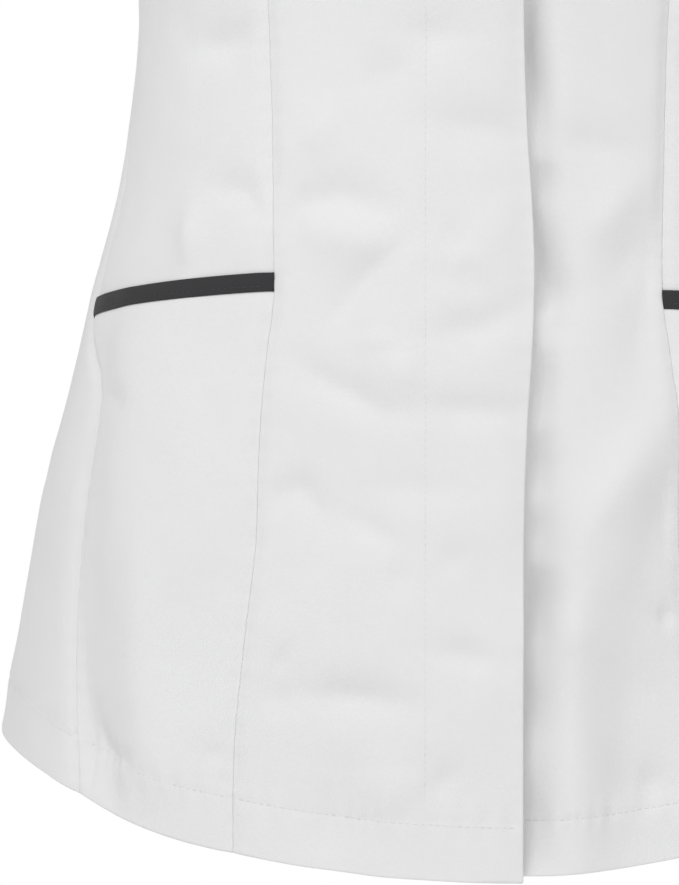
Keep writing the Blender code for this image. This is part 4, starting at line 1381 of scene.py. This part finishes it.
def pocket_binding(side):
    """The band of a pocket's mouth, which dips into the seams at both ends."""
    share = np.linspace(0, 1, MOUTH_PLACES)
    low = mouth_places(side, mouth_row(FRONT_ROWS), share) - (0, BAND_OVERLAP)
    high = mouth_places(side, mouth_row(FRONT_ROWS) + FRONT_ROWS.mouth, share) + (0, BAND_OVERLAP)
    tall = float((high - low)[:, 1].mean())
    section = band_section(tall, BINDING_PROUD, BAND_BACK)
    blend = (section[:, 0] / tall)[:, None, None]
    grid = low[None] * (1 - blend) + high[None] * blend
    dip = SEAM_DIP * bell(np.minimum(share, 1 - share) * MOUTH_LENGTH, SEAM_DIP_REACH)
    points, normals = surface(grid[..., 0] * side, grid[..., 1], section[:, 1][:, None] - dip)
    name = SIDES[side]
    points, normals = facing_out(side, points, normals)
    band_piece(f"pocket_band_{name}", points, trim, f"pocket_binding_{name}", "trim_charcoal")
    return points, normals


bands = {side: pocket_binding(side) for side in SIDES}

# %% [markdown]
# ## Back
# The back is one piece from side seam to side seam. Its grid runs from the wearer's left to the right,
# and its top follows the two shoulder seams and the shallow curve of the neck between them. Over the
# hips it falls in long soft flutes, and small creases lie across the waist and below the shoulders.

# %% Back
BACK_ACROSS = 176
BACK_SHOULDER_SHARE = 4 / 22
RIDGE_PLACES = 41
BACK_NECK_PLACES = 61


def back_top(share):
    """Places along the top of the back: a shoulder, the neck and the other shoulder."""
    neck_shares = np.linspace(0, 1, BACK_NECK_PLACES)
    neck = neck_line(0, NECK_BINDING_WIDTH, neck_shares, front=False)[::-1]
    heights = np.linspace(SHOULDER_END, neck[0, 1], RIDGE_PLACES)
    ridge = np.stack([1 + half_seam(heights), heights], axis=1)
    other_neck = neck[::-1] * (-1, 1) + (4, 0)
    other_ridge = ridge[::-1] * (-1, 1) + (4, 0)
    line = np.vstack([ridge, neck[1:], other_neck[1:], other_ridge[1:]])
    inner = 0.5 - BACK_SHOULDER_SHARE
    parts = [
        np.linspace(0, BACK_SHOULDER_SHARE, RIDGE_PLACES),
        BACK_SHOULDER_SHARE + inner * neck_shares[1:],
        0.5 + inner * neck_shares[1:],
        1 - BACK_SHOULDER_SHARE + BACK_SHOULDER_SHARE * np.linspace(0, 1, RIDGE_PLACES)[1:],
    ]
    at = np.concatenate(parts)
    return np.stack([np.interp(share, at, line[:, i]) for i in (0, 1)], axis=1)


def back_panel(area):
    """The back, whose right edge is the left one's mirror on the far side of the round."""
    finishes = (SEAM, SEAM)
    left, right = side_edge(1, False), side_edge(-1, False)
    right[:, 0] = 4 - right[:, 0]
    panel = lay_out(left, right, *finishes, BACK_ACROSS, BACK_ROWS, back_top)
    points, normals = panel_surface(panel, 1, finishes, flush, BACK_CREASES)
    cloth_piece("back_panel", points, cloth, "back", area)
    return points, normals


back = back_panel(0.365)

# %% [markdown]
# ## Neck binding
# A narrow band of the same cloth is folded over the raw edge of the neck. It starts at the lapping
# front's edge, goes round the back and ends under the overlap. It is the same flattened loop as at the
# pocket mouths, so one function serves both.

# %% Neck binding
FRONT_NECK_SHARES = np.linspace(0, 1, 91)
BACK_NECK_SHARES = np.linspace(0, 1, 71)
NECK_BAND_BACK = -0.0015


def neck_places(inset):
    """Places along the neckline at one distance below its edge, from the overlap round to the underlap."""
    over = neck_angle(lap_edge(-FRONT_NECK_DROP), inset)
    under_angle = neck_angle(UNDERLAP_EDGE, inset)
    front_right = neck_line(over, inset, FRONT_NECK_SHARES) * (-1, 1)
    back_left = neck_line(0, inset, BACK_NECK_SHARES, front=False) - (4, 0)
    back_right = (back_left + (4, 0)) * (-1, 1)
    front_left = neck_line(under_angle, inset, FRONT_NECK_SHARES) - (4, 0)
    return np.vstack([front_right, back_right[-2::-1], back_left[1:], front_left[-2::-1]])


def neck_band():
    """The neck's band, which stands off with the overlap on the lapping front."""
    width = NECK_BINDING_WIDTH - SEAM_GAP
    section = band_section(width, BINDING_PROUD, NECK_BAND_BACK)
    grid = np.stack([neck_places(width - distance) for distance in section[:, 0]])
    around, height = grid[..., 0], grid[..., 1]
    lift = np.where(around > -1, lap_lift(around, height), 0.0)
    points, normals = surface(around, height, lift + section[:, 1][:, None])
    band_piece("neck_band", points, cloth, "neck_binding", "cloth_white")
    return points, normals


neck = neck_band()

# %% [markdown]
# ## Sleeves
# A short sleeve is a tube that starts at the armhole and ends in an oval cuff. Rings lead from one shape
# to the other along a curve that leaves the shoulder level and then hangs down. The cuff's hem is turned
# up inside like the tunic's, and a few folds drag from the armhole's front and back.

# %% Sleeves
SLEEVE_RINGS = 66
SLEEVE_POINTS = 190
SLEEVE_HEAD = (0.0, 0.0004, 0.0010, 0.0018, 0.0030)
SLEEVE_HEAD_DEPTH = (0.0008, 0.0001, 0.0, 0.0, 0.0)
SLOPE_STEP = 0.01


def armhole_ring(side):
    """The armhole as a closed ring of points: up the front from the underarm, and down the back."""
    front = side_edge(side, True)[underarm_row(FRONT_ROWS) :]
    rear = side_edge(side, False)[underarm_row(BACK_ROWS) :]
    turn = np.concatenate([front[:, 0], rear[::-1][1:, 0]])
    height = np.concatenate([front[:, 1], rear[::-1][1:, 1]])
    turn[0] = turn[-1] = turn[len(front) - 1] = 1.0
    ring, _ = surface(side * turn, height, -SEAM_DIP)
    run = np.append(0, np.linalg.norm(np.diff(ring, axis=0), axis=1).cumsum())
    at = np.linspace(0, run[-1], SLEEVE_POINTS + 1)
    return np.stack([np.interp(at, run, ring[:, i]) for i in range(3)], axis=1)


def cuff_ring(side, start, along):
    """The angle of each of the armhole's points about its centre, and its place on the oval cuff."""
    across = np.array([math.cos(SLEEVE_TILT) * side, 0, math.sin(SLEEVE_TILT)])
    hole = np.array(ARMHOLE_CENTRE) * (side, 1, 1)
    spoke = start - hole
    angle = np.arctan2(spoke[:, 1], spoke @ across)
    ripple = 1 + CUFF_RIPPLE * np.cos(CUFF_RIPPLE_COUNT * angle + CUFF_RIPPLE_TURN * side)
    wide, deep = CUFF_WIDTH_RADIUS * np.cos(angle), CUFF_DEPTH_RADIUS * np.sin(angle)
    oval = wide[:, None] * across + deep[:, None] * np.array([0, 1.0, 0])
    return angle, hole + SLEEVE_LENGTH * along + ripple[:, None] * oval


def sleeve_rows():
    """Share of the length and depth of each ring, from the armhole to the free edge inside the cuff."""
    head = np.array(SLEEVE_HEAD) / SLEEVE_LENGTH
    hem_rows = np.array([d for d, _ in TURNED_UP] + list(HEM_FACE)) * CUFF_HEM / HEM_DEPTH
    hem_turn = np.array([math.pi * share for _, share in TURNED_UP] + [0.0] * len(HEM_FACE))
    radius = HEM_LOOP / 2
    round_fold = np.where(hem_rows == 0, radius * (1 - np.sin(hem_turn)), 0)
    hem_share = 1 - (hem_rows + round_fold) / SLEEVE_LENGTH
    hem_depth = radius * (1 - np.cos(hem_turn))
    plain = np.linspace(head[-1], hem_share[-1], SLEEVE_RINGS + 1)[1:-1]
    shares = np.concatenate([head, plain, hem_share[::-1]])
    return shares, np.concatenate([SLEEVE_HEAD_DEPTH, np.zeros(len(plain)), hem_depth[::-1]])


print("places round a sleeve:", SLEEVE_POINTS)

# %% Folds of the sleeves
SLEEVE_HEAD_FADE = 0.010
HALF_GIRTH = 0.16
SLEEVE_FOLD_ENDS = 0.4
# Rise and half width, then angle in degrees and share of the length at the upper end and at the lower
SLEEVE_FOLDS = (
    (-0.0030, 0.011, 200, 0.02, 214, 0.55),
    (0.0028, 0.012, 228, 0.03, 236, 0.75),
    (-0.0026, 0.010, 160, 0.03, 148, 0.60),
    (0.0026, 0.012, 128, 0.05, 122, 0.70),
    (-0.0016, 0.010, 262, 0.25, 256, 0.85),
    (-0.0016, 0.010, 96, 0.30, 104, 0.85),
    (0.0012, 0.012, 20, 0.45, 34, 0.90),
    (-0.0012, 0.011, 335, 0.40, 322, 0.88),
    (-0.0020, 0.012, 180, 0.30, 182, 0.90),
)


def sleeve_fold_rise(angle, shares):
    """How far the sleeve's folds push its cloth out, or in where it is negative."""
    rise = np.zeros((len(shares), len(angle)))
    metres = HALF_GIRTH / math.pi
    for height, half_width, angle_top, share_top, angle_low, share_low in SLEEVE_FOLDS:
        off = np.radians((np.degrees(angle)[None] - angle_top + 180) % 360 - 180) * metres
        down = (shares[:, None] - share_top) * SLEEVE_LENGTH
        run = math.radians(angle_low - angle_top) * metres
        share, distance = off_line(off, down, run, (share_low - share_top) * SLEEVE_LENGTH)
        swell = SLEEVE_FOLD_ENDS + (1 - SLEEVE_FOLD_ENDS) * np.sin(math.pi * share)
        rise += height * bell(distance, half_width) * swell
    return rise * ease(shares * SLEEVE_LENGTH / SLEEVE_HEAD_FADE)[:, None]


print("folds of a sleeve:", len(SLEEVE_FOLDS))

# %% Both sleeves
def sleeve(side, area):
    """A sleeve: rings from the armhole to the cuff, with folds, and with the hem turned up inside."""
    start = armhole_ring(side)
    along = np.array([math.sin(SLEEVE_TILT) * side, 0, -math.cos(SLEEVE_TILT)])
    angle, cuff = cuff_ring(side, start, along)
    pull = np.array(SLEEVE_START) * (side, 1, 1)
    start = start + pull * SLEEVE_GAP
    reach = np.linalg.norm(cuff - start, axis=1, keepdims=True)

    def ring(t):
        a, b = (1 + 2 * t) * (1 - t) ** 2, t * (1 - t) ** 2
        c, d = t * t * (3 - 2 * t), t * t * (t - 1)
        return a * start + b * SLEEVE_PULL * reach * pull + c * cuff + d * SLEEVE_PULL * reach * along

    shares, depth = sleeve_rows()
    rings = np.stack([ring(t) for t in shares])
    ahead = np.stack([ring(min(t + SLOPE_STEP, 1)) - ring(max(t - SLOPE_STEP, 0)) for t in shares])
    closed = np.concatenate([rings[:, -2:-1], rings, rings[:, 1:2]], axis=1)
    normal = np.cross(closed[:, 2:] - closed[:, :-2], ahead)
    normal /= np.linalg.norm(normal, axis=-1, keepdims=True)
    if ((rings - rings.mean(axis=1, keepdims=True)) * normal).sum() < 0:
        normal = -normal
    rise = sleeve_fold_rise(angle, shares)
    from_cuff = (1 - shares) * SLEEVE_LENGTH
    rise += stitch_dip(from_cuff - HEM_STITCH * CUFF_HEM / HEM_DEPTH)[:, None]
    points = rings + normal * (rise + unevenness(rings) - depth[:, None])[..., None]
    facing = np.cross(points[1:, :-1] - points[:-1, :-1], points[:-1, 1:] - points[:-1, :-1])
    if (facing * normal[:-1, :-1]).sum() > 0:
        points, normal = points[::-1], normal[::-1]
    name = SIDES[side]
    cloth_piece(f"short_sleeve_{name}", points, cloth, f"sleeve_{name}", area)
    return points, normal


sleeves = {side: sleeve(side, 0.062) for side in SIDES}

# %% [markdown]
# ## Stitching
# Lockstitch shows as short raised dashes of thread. Each dash is a small stretched sphere with few
# faces, set along a line of points on the cloth, and all the dashes of one line are one mesh.

# %% Stitching
STITCH_PITCH = 0.0030
STITCH_LENGTH = 0.0021
THREAD_RADIUS = 0.00014
THREAD_STAND = 0.4
THREAD_SIDES = 6
THREAD_RINGS = 4


def stitch_line(name, points, normals, material, slot="cloth_white"):
    """Dashes of thread along a line of points that lies on the cloth."""
    run = np.append(0, np.linalg.norm(np.diff(points, axis=0), axis=1).cumsum())
    centres = np.arange(STITCH_PITCH, run[-1] - STITCH_PITCH / 2, STITCH_PITCH)

    def at_run(place, values):
        return np.array([np.interp(place, run, values[:, i]) for i in range(3)])

    bm = bmesh.new()
    for at in centres:
        ends = [at_run(at + step, points) for step in (-STITCH_LENGTH / 2, STITCH_LENGTH / 2)]
        out = Vector(at_run(at, normals)).normalized()
        ahead = Vector(ends[1] - ends[0]).normalized()
        aside = out.cross(ahead).normalized()
        turn = Matrix((ahead, aside, out)).transposed().to_4x4()
        shape = Matrix.Diagonal((STITCH_LENGTH / 2, THREAD_RADIUS, THREAD_RADIUS, 1))
        middle = Vector((ends[0] + ends[1]) / 2) + out * THREAD_RADIUS * THREAD_STAND
        bmesh.ops.create_uvsphere(bm, u_segments=THREAD_SIDES, v_segments=THREAD_RINGS, radius=1,
                                  matrix=Matrix.Translation(middle) @ turn @ shape)
    mesh = bpy.data.meshes.new(name)
    bm.to_mesh(mesh)
    bm.free()
    add_piece(name, mesh, material, None, slot)
    print(f"{name}: {len(centres)} stitches")


def row_of(piece, row, first, last):
    """Points and normals of part of one row of a panel."""
    points, normals = piece
    return points[row, first:last], normals[row, first:last]


print("one stitch every", STITCH_PITCH * 1000, "mm")

# %% Lines of stitches
PLACKET_STITCH_ENDS = (-0.715, -0.118)
PLACKET_PLACES = 400
BINDING_EDGE_STITCH = 1
BAND_ENDS = 2

# Columns that a finish turns under, which carry no stitches on the face
seam_turned = len(edge_columns(SEAM)[0]) - len(FACE_STEPS)
front_turned = len(edge_columns(FRONT_FOLD)[0]) - len(FACE_STEPS)
hem_lines = {
    "front_right": (lapping, seam_turned, front_turned),
    "front_left": (under, front_turned, seam_turned),
    "pocket_right": (pockets[-1], seam_turned, seam_turned),
    "pocket_left": (pockets[1], seam_turned, seam_turned),
    "back": (back, seam_turned, seam_turned),
}
for name, (panel, first, last) in hem_lines.items():
    stitch_line(f"hem_stitches_{name}", *row_of(panel, STITCH_ROW, first, -last), white_thread)

heights = np.linspace(*PLACKET_STITCH_ENDS, PLACKET_PLACES)
around = around_at(np.full(PLACKET_PLACES, PLACKET_STITCH), heights)
placket_out = lapping_base(around, heights) + crease_rise(on_front(LAPPING_CREASES), around, heights)
stitch_line("placket_stitches", *surface(around, heights, placket_out), white_thread)

for side, name in SIDES.items():
    line = row_of(bands[side], BINDING_EDGE_STITCH, BAND_ENDS, -BAND_ENDS)
    stitch_line(f"pocket_band_stitches_{name}", *line, dark_thread, "trim_charcoal")
line = row_of(neck, BINDING_EDGE_STITCH, BAND_ENDS, -BAND_ENDS)
stitch_line("neck_band_stitches", *line, white_thread)
for side, name in SIDES.items():
    points, normals = sleeves[side]
    cuff_last = points[:, 0, 2].argmin() > len(points) / 2
    row = len(points) - 1 - STITCH_ROW if cuff_last else STITCH_ROW
    stitch_line(f"cuff_stitches_{name}", points[row], normals[row], white_thread)
